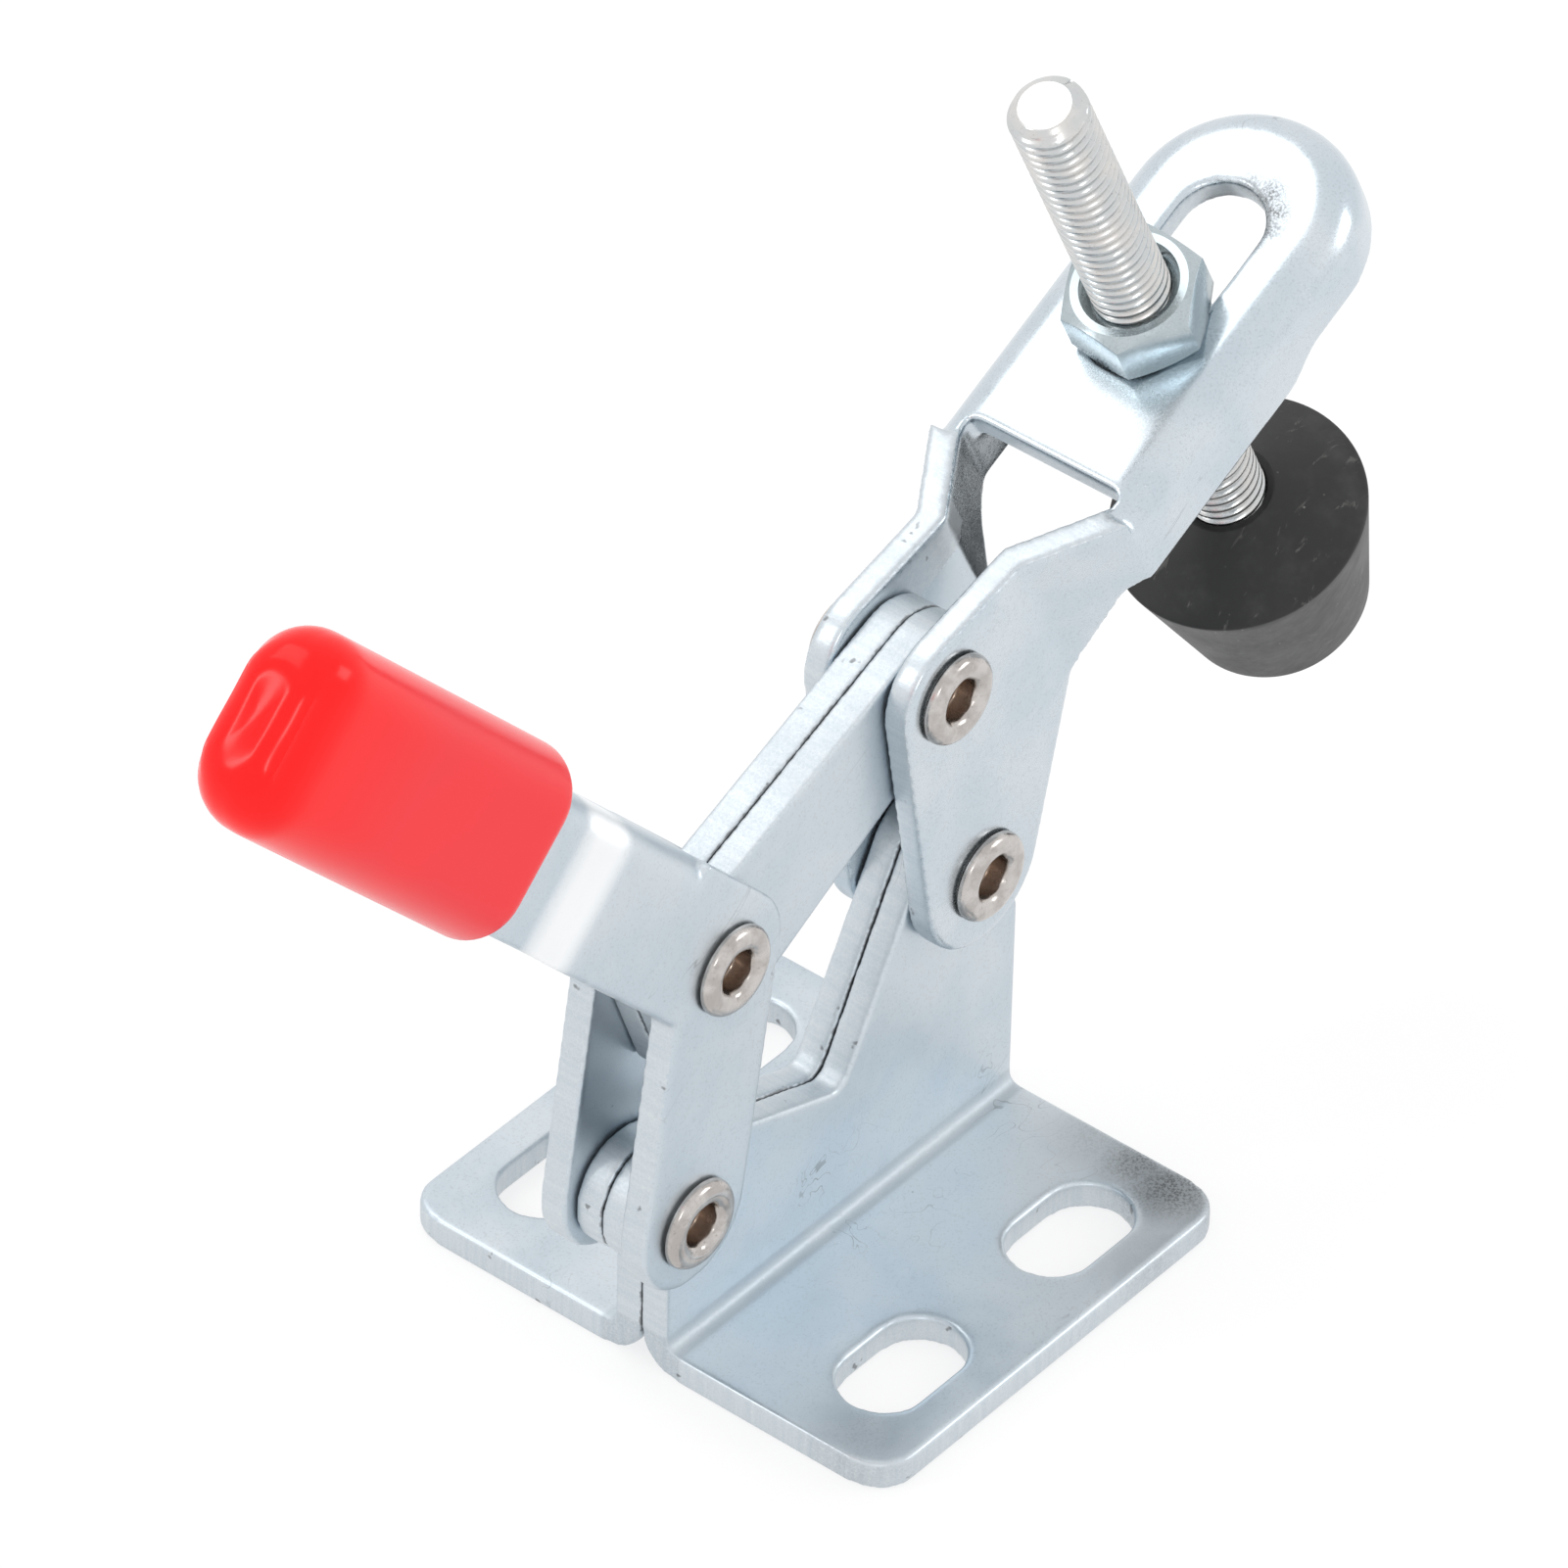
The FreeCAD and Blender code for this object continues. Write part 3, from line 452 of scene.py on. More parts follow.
@dataclass(frozen=True)
class ZincSheet:
    """Plated sheet: satin, faintly mottled faces with specks and hairlines, and streaky sheared edges.

    cut marks the sheared faces on the mesh. seam is half the width of the stain along the clamp's middle plane.
    bend is the size of the worn band along the inside of the base's bend, and flange_top the height below which sheared
    faces stand upright. dark_speckle_patches are patches of dull, dark grain; those on the base's corners are painted
    dark reflection of the surroundings. curls are places with a tangle of fine scratches. highlight_band is a painted
    highlight, a bright band where the handle's sheet is pinched in towards the grip: its middle and half width in
    millimetres along a direction, and the direction's angle above +X.
    """

    name: str = "zinc_sheet"
    face: Colour = (0.565, 0.635, 0.69)
    face_pale: Colour = (0.65, 0.705, 0.745)
    sheared: Colour = (0.57, 0.63, 0.675)
    sheared_bright: Colour = (0.70, 0.74, 0.765)
    stain: Colour = (0.14, 0.145, 0.15)
    glint: Colour = (0.90, 0.92, 0.93)
    painted_highlight: Colour = (0.96, 0.97, 0.98)
    polish: float = 0.37
    seam: float = 0.0
    bend: float = 0.0
    flange_top: float = 2.4 * MM
    dark_speckle_patches: tuple[Mark, ...] = ()
    curls: tuple[Mark, ...] = ()
    highlight_band: tuple[float, float, float] | None = None

    def build(self) -> bpy.types.Material:
        """The material.

        Returns:
            Plated sheet.
        """
        graph = Graph(self.name)
        blotch = graph.noise(150.0, 3.0, 0.55, distortion=0.4)
        mottle = graph.noise(620.0, 2.0, 0.5)
        grain = graph.noise(6200.0, 2.0, 0.6)
        faces = graph.blend(graph.span(blotch, 0.33, 0.68), self.face, self.face_pale)
        faces = graph.blend(graph.times(graph.span(mottle, 0.50, 0.72), 0.25), faces, self.face_pale)
        faces = graph.blend(graph.times(graph.span(grain, 0.50, 0.28), 0.15), faces, self.stain)
        cut = graph.mark("cut")
        streak, crystal = self.shear_marks(graph), graph.cells(3300.0, "DISTANCE_TO_EDGE")
        tone = graph.plus(graph.span(streak, 0.25, 0.75, 0.0, 0.55), graph.span(crystal, 0.12, 0.0, 0.0, 0.35))
        colour = graph.blend(cut, faces, graph.blend(tone, self.sheared, self.sheared_bright))
        # The stain colour also paints the dark reflection patches on the base's corners.
        colour = graph.blend(self.dirt_and_painted_reflection(graph, grain, cut), colour, self.stain)
        sparkle = graph.times(graph.span(graph.cells(2300.0), 0.11, 0.05),
                              graph.span(graph.noise(500.0, 1.0, 0.5), 0.52, 0.60))
        colour = graph.blend(graph.times(sparkle, 0.55), colour, self.glint)

        # Painted highlight: a near-white band across the handle where its sheet is pinched in towards the grip,
        # standing in for the key light's reflection on that bend.
        if self.highlight_band:
            middle, half, angle = self.highlight_band
            offset = graph.step("ABSOLUTE", graph.step("SUBTRACT", graph.along(angle), middle * MM))
            band = graph.times(graph.span(offset, half * MM, 0.25 * half * MM), 0.85)
            colour = graph.blend(band, colour, self.painted_highlight)

        rough = graph.plus(graph.span(blotch, 0.3, 0.7, self.polish - 0.05, self.polish + 0.05),
                           graph.span(grain, 0.3, 0.7, -0.04, 0.05))
        rough = graph.plus(rough, graph.times(cut, 0.12))
        if self.bend:
            low = graph.span(graph.height(), 1.12 * self.bend, self.bend)
            inner = graph.span(graph.sideways(), 1.12 * self.bend, self.bend)
            worn = graph.times(graph.times(low, inner), graph.span(grain, 0.3, 0.6, 0.6, 1.0))
            rough = graph.plus(rough, graph.times(worn, 0.22))
            colour = graph.blend(graph.times(worn, 0.07), colour, self.stain)
        relief = graph.relief(grain, 3.0e-6, graph.relief(blotch, 24e-6))
        ridges = graph.times(cut, graph.plus(streak, graph.span(crystal, 0.0, 0.16, 0.0, 0.20)))
        return graph.finish(Base_Color=colour, Metallic=0.93, Roughness=rough,
                            Normal=graph.relief(ridges, 7e-6, relief))

    def shear_marks(self, graph: Graph) -> Socket:
        """Streaks through the sheet's thickness: across on the webs and ears, upright on the flanges.

        Args:
            graph: the material's graph.

        Returns:
            A number from 0 to 1.
        """
        across = graph.noise(1.0, 3.0, 0.65, graph.stretched((2300.0, 160.0, 2300.0)))
        upright = graph.noise(1.0, 3.0, 0.65, graph.stretched((2300.0, 2300.0, 160.0)))
        flat = graph.span(graph.height(), self.flange_top, 0.8 * self.flange_top)
        standing = graph.step("SUBTRACT", 1.0, flat)
        return graph.plus(graph.times(across, standing), graph.times(upright, flat))

    def dirt_and_painted_reflection(self, graph: Graph, grain: Socket, cut: Socket) -> Socket:
        """Share of the stain: pinholes, hairlines, burrs on the sheared edges, dark speckle patches and curls.
        The speckle patches on the base's corners are painted dark reflection of the surroundings.

        Args:
            graph: the material's graph.
            grain: the fine grain.
            cut: 1 on sheared faces.

        Returns:
            A share from 0 to 1.
        """
        pinhole = graph.times(graph.span(graph.cells(430.0), 0.055, 0.02),
                              graph.span(graph.noise(240.0, 1.0, 0.5), 0.57, 0.63))
        hair = graph.isoline(graph.noise(1.0, 1.0, 0.5, graph.stretched((70.0, 620.0, 620.0), 34.0)), 0.006)
        hair = graph.times(hair, graph.span(graph.noise(95.0, 2.0, 0.5), 0.60, 0.68, 0.0, 0.34))
        burr = graph.times(cut, graph.span(graph.noise(800.0, 2.0, 0.55), 0.69, 0.75, 0.0, 0.70))
        total = graph.larger(graph.times(pinhole, 0.55), graph.larger(hair, burr))
        if self.seam:
            rough_edge = graph.span(graph.noise(1400.0, 2.0, 0.6), 0.3, 0.7, -0.35 * self.seam, 0.35 * self.seam)
            offset = graph.plus(graph.sideways(), rough_edge)
            total = graph.larger(total, graph.span(offset, self.seam, 0.2 * self.seam, 0.0, 0.80))
        speckle = graph.span(grain, 0.34, 0.66, 0.35, 1.0)
        tangle = graph.isoline(graph.noise(300.0, 1.0, 0.5, distortion=2.6), 0.016)
        # Speckle patches: on the base's corners they are painted dark reflection. Curls: fine scratches.
        for pattern, marks in ((speckle, self.dark_speckle_patches), (tangle, self.curls)):
            for mark in marks:
                total = graph.larger(total, graph.times(graph.times(pattern, mark.share(graph)), mark.depth))
        return total


@dataclass(frozen=True)
class BrightSteel:
    """Machined and plated steel of the spindle and the nuts, with fine marks round the thread."""

    name: str = "bright_steel"
    body: Colour = (0.61, 0.625, 0.63)
    warm: Colour = (0.69, 0.675, 0.655)
    stain: Colour = (0.20, 0.20, 0.20)
    polish: float = 0.22

    def build(self) -> bpy.types.Material:
        """The material.

        Returns:
            Machined steel.
        """
        graph = Graph(self.name)
        blotch = graph.noise(420.0, 3.0, 0.6)
        grain = graph.noise(5200.0, 2.0, 0.6)
        colour = graph.blend(graph.span(blotch, 0.38, 0.66), self.body, self.warm)
        colour = graph.blend(graph.times(graph.span(grain, 0.40, 0.25), 0.30), colour, self.stain)
        rough = graph.span(blotch, 0.3, 0.7, self.polish - 0.06, self.polish + 0.10)
        relief = graph.relief(grain, 4e-6, graph.relief(blotch, 10e-6))
        return graph.finish(Base_Color=colour, Metallic=0.96, Roughness=rough, Normal=relief)


@dataclass(frozen=True)
class NickelRivet:
    """Warm, polished rivets and washers, brown with old oil down in the hollow."""

    name: str = "nickel_rivet"
    body: Colour = (0.45, 0.42, 0.40)
    bright: Colour = (0.60, 0.57, 0.55)
    hollow: Colour = (0.34, 0.255, 0.20)
    stain: Colour = (0.10, 0.085, 0.07)
    polish: float = 0.21

    def build(self) -> bpy.types.Material:
        """The material.

        Returns:
            Nickel-plated steel.
        """
        graph = Graph(self.name)
        blotch = graph.noise(650.0, 3.0, 0.6)
        grain = graph.noise(5200.0, 2.0, 0.6)
        colour = graph.blend(graph.span(blotch, 0.36, 0.66), self.body, self.bright)
        colour = graph.blend(graph.times(graph.span(grain, 0.38, 0.24), 0.30), colour, self.stain)
        inside = graph.times(graph.mark("hollow"), graph.span(blotch, 0.30, 0.62, 0.70, 1.0))
        colour = graph.blend(inside, colour, self.hollow)
        rough = graph.span(blotch, 0.3, 0.7, self.polish - 0.05, self.polish + 0.08)
        relief = graph.relief(grain, 2.5e-6, graph.relief(blotch, 12e-6))
        return graph.finish(Base_Color=colour, Metallic=0.97, Roughness=rough, Normal=relief)


@dataclass(frozen=True)
class DippedPlastic:
    """Soft red plastic, deeper in colour and glossier at the closed end."""

    name: str = "dipped_plastic"
    red: Colour = (0.84, 0.013, 0.022)
    deep: Colour = (0.95, 0.006, 0.006)
    polish: float = 0.22
    end_polish: float = 0.17

    def build(self) -> bpy.types.Material:
        """The material.

        Returns:
            Red plastic.
        """
        graph = Graph(self.name)
        cloud = graph.noise(130.0, 0.0, 0.5)
        share = graph.larger(graph.mark("end"), graph.times(graph.span(cloud, 0.3, 0.8), 0.3))
        colour = graph.blend(share, self.red, self.deep)
        gloss = graph.span(graph.mark("end"), 0.0, 1.0, 0.30, 0.26)
        rough = graph.span(graph.mark("end"), 0.4, 1.0, self.polish, self.end_polish)
        return graph.finish(Base_Color=colour, Roughness=rough, Normal=graph.relief(cloud, 9e-6),
                            Specular_IOR_Level=gloss)


@dataclass(frozen=True)
class MouldedRubber:
    """Black rubber: scuffs and pale dust on the cone, fine brush marks down the greyer side."""

    name: str = "moulded_rubber"
    black: Colour = (0.016, 0.016, 0.016)
    grey: Colour = (0.062, 0.062, 0.063)
    dust: Colour = (0.20, 0.195, 0.185)

    def build(self) -> bpy.types.Material:
        """The material.

        Returns:
            Black rubber.
        """
        graph = Graph(self.name)
        side = graph.mark("side")
        cloud = graph.noise(260.0, 4.0, 0.62)
        scuff = graph.noise(1.0, 4.0, 0.62, graph.stretched((520.0, 1500.0, 520.0), 60.0), distortion=0.6)
        speck = graph.span(graph.cells(900.0), 0.10, 0.05)
        chance = graph.span(graph.noise(330.0, 2.0, 0.5), 0.53, 0.62)
        brush = graph.noise(1.0, 3.0, 0.6, graph.stretched((2200.0, 2200.0, 260.0), -26.0))
        top = graph.blend(graph.times(graph.span(cloud, 0.45, 0.75), 0.5), self.black, self.grey)
        wall = graph.blend(graph.times(graph.span(brush, 0.30, 0.70), 0.45), self.grey, (0.10, 0.10, 0.10))
        colour = graph.blend(side, top, wall)
        marks = graph.larger(graph.times(graph.span(scuff, 0.62, 0.74), 0.38),
                          graph.times(graph.times(speck, chance), 0.8))
        colour = graph.blend(marks, colour, self.dust)
        rough = graph.span(cloud, 0.3, 0.7, 0.44, 0.60)
        relief = graph.relief(graph.noise(1300.0, 4.0, 0.65), 14e-6)
        relief = graph.relief(graph.times(side, brush), 16e-6, relief)
        return graph.finish(Base_Color=colour, Roughness=rough, Normal=relief, Specular_IOR_Level=0.42)


def grid_piece(name: str, points: np.ndarray, closed_rows: bool = False, crease: float = 38.0) -> bpy.types.Object:
    """A closed surface from a grid of points, with its columns joined round.

    A quad joins each point to its neighbours along the row and the column. Equal points, as at a pole, are
    welded, and the faces are turned outwards by the sign of the enclosed volume.

    Args:
        name: the piece's name.
        points: rows by columns by three coordinates, in the row frame.
        closed_rows: whether the last row joins the first, as on a ring.
        crease: angle in degrees above which an edge stays sharp.

    Returns:
        The piece.
    """
    rows, columns = points.shape[:2]
    index = np.arange(rows * columns).reshape(rows, columns)
    across = np.roll(index, -1, axis=1)
    ahead, ahead_across = np.roll(index, -1, axis=0), np.roll(across, -1, axis=0)
    quads = np.stack([index, across, ahead_across, ahead], axis=-1)
    quads = quads.reshape(-1, 4) if closed_rows else quads[:-1].reshape(-1, 4)
    places = points.reshape(-1, 3)
    first, third = places[quads[:, 0]], places[quads[:, 2]]
    swept = np.cross(places[quads[:, 1]] - first, third - first) + np.cross(third - first, places[quads[:, 3]] - first)
    if np.einsum("ij,ij->", first - places.mean(axis=0), swept) < 0:
        quads = quads[:, ::-1]
    mesh = bpy.data.meshes.new(name)
    mesh.from_pydata(places.tolist(), [], quads.tolist())
    weld(mesh)
    return as_piece(name, mesh, crease)


def weld(mesh: bpy.types.Mesh, near: float = 1e-7) -> None:
    """Joins the vertices of a mesh that share a place.

    Args:
        mesh: the mesh, which is changed.
        near: how near vertices are joined, in metres.
    """
    work = bmesh.new()
    work.from_mesh(mesh)
    bmesh.ops.remove_doubles(work, verts=work.verts, dist=near)
    work.to_mesh(mesh)
    work.free()


def as_piece(name: str, mesh: bpy.types.Mesh, crease: float = 38.0) -> bpy.types.Object:
    """Puts a mesh in the scene, smooth except at creases.

    Args:
        name: the piece's name.
        mesh: its mesh, in the row frame.
        crease: angle in degrees above which an edge stays sharp.

    Returns:
        The piece.
    """
    mesh.polygons.foreach_set("use_smooth", np.ones(len(mesh.polygons), bool))
    mesh.set_sharp_from_angle(angle=math.radians(crease))
    piece = bpy.data.objects.new(name, mesh)
    bpy.context.scene.collection.objects.link(piece)
    return piece


def store(mesh: bpy.types.Mesh, name: str, values: np.ndarray, domain: str) -> None:
    """Stores one number for each vertex, edge or face of a mesh."""
    layer = mesh.attributes.new(name, "FLOAT", domain)
    layer.data.foreach_set("value", np.asarray(values, np.float32))


def path(corners: list[tuple[float, float, float]], steps: int) -> np.ndarray:
    """A planar path through corners, each rounded by an arc.

    At a corner with radius r and half angle a between its runs, the arc starts r / tan(a) before the corner and
    turns about a centre on the bisector, r / sin(a) away.

    Args:
        corners: first coordinate, second coordinate and radius of each corner, in order.
        steps: points on each arc.

    Returns:
        The path's points, two columns.
    """
    places = np.array(corners)[:, :2]
    points = [places[:1]]
    for before, here, after, (_, _, radius) in zip(places[:-2], places[1:-1], places[2:], corners[1:-1]):
        back, ahead = (before - here) / np.linalg.norm(before - here), (after - here) / np.linalg.norm(after - here)
        half = math.acos(np.clip(back @ ahead, -1.0, 1.0)) / 2
        if radius <= 0 or half > math.pi / 2 - 1e-3:
            points.append(here[None])
            continue
        middle = here + (back + ahead) / np.linalg.norm(back + ahead) * radius / math.sin(half)
        start = here + back * radius / math.tan(half) - middle
        end = here + ahead * radius / math.tan(half) - middle
        share = np.linspace(0.0, 1.0, steps)[:, None]
        sweep = math.pi - 2 * half
        points.append(middle + (np.sin((1 - share) * sweep) * start + np.sin(share * sweep) * end) / math.sin(sweep))
    points.append(places[-1:])
    return np.concatenate(points)


def dress(piece: bpy.types.Object, material: bpy.types.Material, body: str,
          replaced: tuple[str, ...]) -> None:
    """Gives a new piece its material, its body and the CAD nodes that it stands for.

    Args:
        piece: the piece.
        material: its finish.
        body: the body that it rides on.
        replaced: the CAD nodes that it stands for.
    """
    piece.data.materials.clear()
    piece.data.materials.append(material)
    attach(piece, body)
    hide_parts(*replaced)
    LOG.info("%s rides on %s, %d faces", piece.name, body, len(piece.data.polygons))


def full_turn(columns: int) -> np.ndarray:
    """Angles once round, as one row."""
    return np.linspace(0.0, 2 * math.pi, columns, endpoint=False)[None, :]


def about_pivot(centre: np.ndarray, radius: np.ndarray, turn: np.ndarray, height: np.ndarray) -> np.ndarray:
    """Points of a shape turned about a pivot, whose axis runs along Y.

    Args:
        centre: middle of the pivot.
        radius: distances from the axis, rows by columns.
        turn: angles about the axis.
        height: distances along the axis from the middle.

    Returns:
        Rows by columns by three coordinates.
    """
    return np.stack(np.broadcast_arrays(centre[0] + radius * np.cos(turn), centre[1] + height,
                                        centre[2] + radius * np.sin(turn)), axis=-1)


@dataclass(frozen=True)
class PressedPart:
    """A CAD node as one skin whose edges and bends are rounded, as the press and a barrel leave them.

    The node's mesh is laid on an even lattice and smoothed: flat faces stay where they are, and edges round off.
    cut tells the sheared faces from their centres and normals.
    """

    node: str
    body: str
    cut: Callable[[np.ndarray, np.ndarray], np.ndarray]
    lattice: float
    passes: int
    crease: float = 60.0

    def build(self, material: bpy.types.Material) -> bpy.types.Object:
        """Rounded copy of the node with marked faces.

        Args:
            material: the finish.

        Returns:
            The piece, which stands for the node.
        """
        mesh = self.softened()
        centres, normals = np.zeros(len(mesh.polygons) * 3), np.zeros(len(mesh.polygons) * 3)
        mesh.polygons.foreach_get("center", centres)
        mesh.polygons.foreach_get("normal", normals)
        store(mesh, "cut", self.cut(centres.reshape(-1, 3), normals.reshape(-1, 3)), "FACE")
        piece = as_piece(mesh.name, mesh, self.crease)
        dress(piece, material, self.body, (self.node,))
        return piece

    def softened(self) -> bpy.types.Mesh:
        """The node's mesh, merged, laid on the lattice and smoothed.

        Returns:
            A new mesh.
        """
        raw = frame["nodes"][self.node].data.copy()
        weld(raw, 1e-6)
        holder = bpy.data.objects.new(self.node + "_raw", raw)
        bpy.context.scene.collection.objects.link(holder)
        even = holder.modifiers.new("even", "REMESH")
        even.mode, even.voxel_size = "VOXEL", self.lattice
        smooth = holder.modifiers.new("smooth", "SMOOTH")
        smooth.factor, smooth.iterations = 0.5, self.passes
        mesh = bpy.data.meshes.new_from_object(holder.evaluated_get(bpy.context.evaluated_depsgraph_get()))
        mesh.name = self.node + "_pressed"
        bpy.data.objects.remove(holder)
        bpy.data.meshes.remove(raw)
        return mesh


@dataclass(frozen=True)
class Base:
    """The two flanged halves of the base."""

    bend_end: float = 2.8 * MM

    def is_cut(self, centres: np.ndarray, normals: np.ndarray) -> np.ndarray:
        """Sheared faces: the web's outline above the bend, the flange's outline and slots, both ends.

        Args:
            centres: face centres in the row frame.
            normals: face normals.

        Returns:
            Whether each face is sheared.
        """
        web = (np.abs(normals[:, 1]) < 0.5) & (centres[:, 2] > self.bend_end)
        flange = (np.abs(normals[:, 2]) < 0.5) & (np.abs(centres[:, 1]) > self.bend_end)
        return web | flange | (np.abs(normals[:, 0]) > 0.9)

    def build(self, finishes: "Finishes") -> None:
        """Both halves."""
        for side in ("left", "right"):
            PressedPart("base_" + side, "base", self.is_cut, 0.22 * MM, 14).build(finishes.base)


@dataclass(frozen=True)
class Linkage:
    """The handle's channel and the two link bars, with the rivets and washers of all four pivots."""

    fold: float = 7.0 * MM

    def handle_is_cut(self, centres: np.ndarray, normals: np.ndarray) -> np.ndarray:
        """Sheared faces of the handle: its outline, but not the top of the fold.

        Args:
            centres: face centres in the row frame.
            normals: face normals.

        Returns:
            Whether each face is sheared.
        """
        station = handle_station()
        place, normal = station.local(centres), station.turned(normals)
        folded = (place[:, 0] < -self.fold) & (np.abs(normal[:, 2]) > 0.5) & (place[:, 2] > 0)
        return (np.abs(normal[:, 1]) < 0.5) & ~folded

    def link_is_cut(self, _: np.ndarray, normals: np.ndarray) -> np.ndarray:
        """Sheared faces of a bar: all of its outline."""
        return np.abs(normals[:, 1]) < 0.5

    def build(self, finishes: "Finishes") -> None:
        """Handle, bars, rivets and washers.

        Args:
            finishes: the materials.
        """
        PressedPart("handle", "handle", self.handle_is_cut, 0.20 * MM, 11).build(finishes.handle)
        for side in ("left", "right"):
            PressedPart("link_" + side, "link", self.link_is_cut, 0.15 * MM, 9).build(finishes.link)
        bodies = {"handle_base": "handle", "handle_link": "handle", "link_arm": "arm", "arm_base": "arm"}
        for number, (pivot, body) in enumerate(bodies.items()):
            Rivet(pivot + "_rivet", body, number).build(finishes.rivet)
            for side in ("left", "right"):
                Washer("%s_washer_%s" % (pivot, side), body).build(finishes.washer)


@dataclass(frozen=True)
class Rivet:
    """A tubular rivet with both ends rolled over, each a little uneven in its own way."""

    node: str
    body: str
    number: int
    bore: float = 1.40 * MM
    shank: float = 2.0 * MM
    washer_gap: float = 0.95 * MM
    head_height: float = 0.42 * MM
    skirt: float = 0.30 * MM
    skirt_wall: float = 0.24 * MM
    fullness: float = 0.85
    floor_depth: float = 1.7 * MM
    floor_hollow: float = 0.25 * MM
    lip_width: float = 0.8 * MM
    lip_wave: float = 0.07 * MM
    lip_dip: float = 0.03 * MM
    oil_start: float = 0.25 * MM
    oil_fade: float = 1.1 * MM
    oil_reach: float = 0.30 * MM
    ring_steps: int = 26
    columns: int = 72

    def build(self, material: bpy.types.Material) -> bpy.types.Object:
        """Profile of radius and height, turned about the pivot: a blind bore, a ring-shaped head and the shank.

        The head is half an ellipse from the bore to its rim, which is rolled down over the washer. The radius near
        the mouth swells and shrinks with two slow waves round the turn, as the rolled lip does.

        Args:
            material: the finish.

        Returns:
            The piece.
        """
        low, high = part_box(self.node)
        head, seat = (high.x - low.x) / 2, (high.y - low.y) / 2 - self.washer_gap
        bore, shank, tip = self.bore, self.shank, seat + self.head_height
        floor = tip - self.floor_depth
        sweep = np.linspace(0.0, math.pi, self.ring_steps)[:, None]
        rise = (self.skirt + self.head_height) * np.sin(sweep) ** self.fullness
        ring = np.concatenate([(head + bore) / 2 - (head - bore) / 2 * np.cos(sweep), seat - self.skirt + rise], axis=1)
        inside = head - self.skirt_wall
        half = np.concatenate([
            [(0.0, floor - self.floor_hollow), (0.55 * bore, floor - 0.4 * self.floor_hollow), (0.93 * bore, floor),
             (bore, floor + 0.6 * self.floor_hollow)],
            ring, [(inside + 0.25 * self.skirt_wall, seat - self.skirt), (inside, seat - self.skirt), (inside, seat),
                   (shank, seat), (shank, 0.0)]])
        profile = np.concatenate([half, (half * (1.0, -1.0))[-2::-1]])
        radius, height = profile[:, :1], profile[:, 1:]
        turn = full_turn(self.columns)
        waves = np.sin(3 * turn + self.number) * 0.5 + np.sin(7 * turn + 2.1 * self.number) * 0.3
        lip = np.clip(1.0 - (radius - bore) / self.lip_width, 0.0, 1.0) * (np.abs(height) > seat)
        uneven = radius + self.lip_wave * waves * lip
        dip = self.lip_dip * np.cos(2 * turn + self.number) * lip * np.sign(height)
        centre = box_centre(self.node)
        piece = grid_piece(self.node + "_rolled", about_pivot(centre, uneven, turn, height - dip))
        place = vertices_of(piece.data) - centre
        from_axis = np.hypot(place[:, 0], place[:, 2])
        depth = (tip - self.oil_start - np.abs(place[:, 1])) / self.oil_fade
        store(piece.data, "hollow", np.clip(depth, 0.0, 1.0) * (from_axis < bore + self.oil_reach), "POINT")
        dress(piece, material, self.body, (self.node,))
        return piece


@dataclass(frozen=True)
class Washer:
    """A flat washer, a little smaller than the rivet head that is rolled over it."""

    node: str
    body: str
    inset: float = 0.28 * MM
    bore: float = 2.02 * MM
    softness: float = 0.08 * MM
    air: float = 0.005 * MM
    columns: int = 64

    def build(self, material: bpy.types.Material) -> bpy.types.Object:
        """Rectangle of radius and height with softened corners, turned about the pivot.

        Args:
            material: the finish.

        Returns:
            The piece.
        """
        low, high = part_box(self.node)
        centre, half = box_centre(self.node), (high.y - low.y) / 2 - self.air
        rim, soft = (high.x - low.x) / 2 - self.inset, self.softness
        middle = (self.bore + rim) / 2
        profile = path([(middle, -half, 0.0), (rim, -half, soft), (rim, half, soft), (self.bore, half, soft),
                        (self.bore, -half, soft), (middle, -half, 0.0)], steps=5)[:-1]
        points = about_pivot(centre, profile[:, :1], full_turn(self.columns), profile[:, 1:])
        piece = grid_piece(self.node + "_round", points, closed_rows=True)
        dress(piece, material, self.body, (self.node,))
        return piece


@dataclass(frozen=True)
class Arm:
    """The pressed arm: a plate with a rolled rim and two stepped ears."""

    step_end: float = 17.9 * MM
    plate_under: float = 15.6 * MM
    rim_bottom: float = 13.2 * MM
    slot_half: float = 3.0 * MM

    def is_cut(self, centres: np.ndarray, normals: np.ndarray) -> np.ndarray:
        """Sheared faces: the ears' outline, the rim's lower edge, the plate's rear edge and its slot.

        Args:
            centres: face centres in the row frame.
            normals: face normals.

        Returns:
            Whether each face is sheared.
        """
        station = arm_station()
        place, normal = station.local(centres), station.turned(normals)
        ears = (place[:, 0] < self.step_end) & (np.abs(normal[:, 1]) < 0.5)
        rim = (normal[:, 2] < -0.5) & (place[:, 2] < self.rim_bottom)
        rear = (normal[:, 0] < -0.9) & (place[:, 2] > self.plate_under)
        slot = ((np.abs(place[:, 1]) < self.slot_half) & (np.abs(normal[:, 2]) < 0.3)
                & (place[:, 2] > self.plate_under))
        return ears | rim | rear | slot

    def build(self, finishes: "Finishes") -> None:
        """The arm."""
        PressedPart("arm", "arm", self.is_cut, 0.20 * MM, 22).build(finishes.arm)


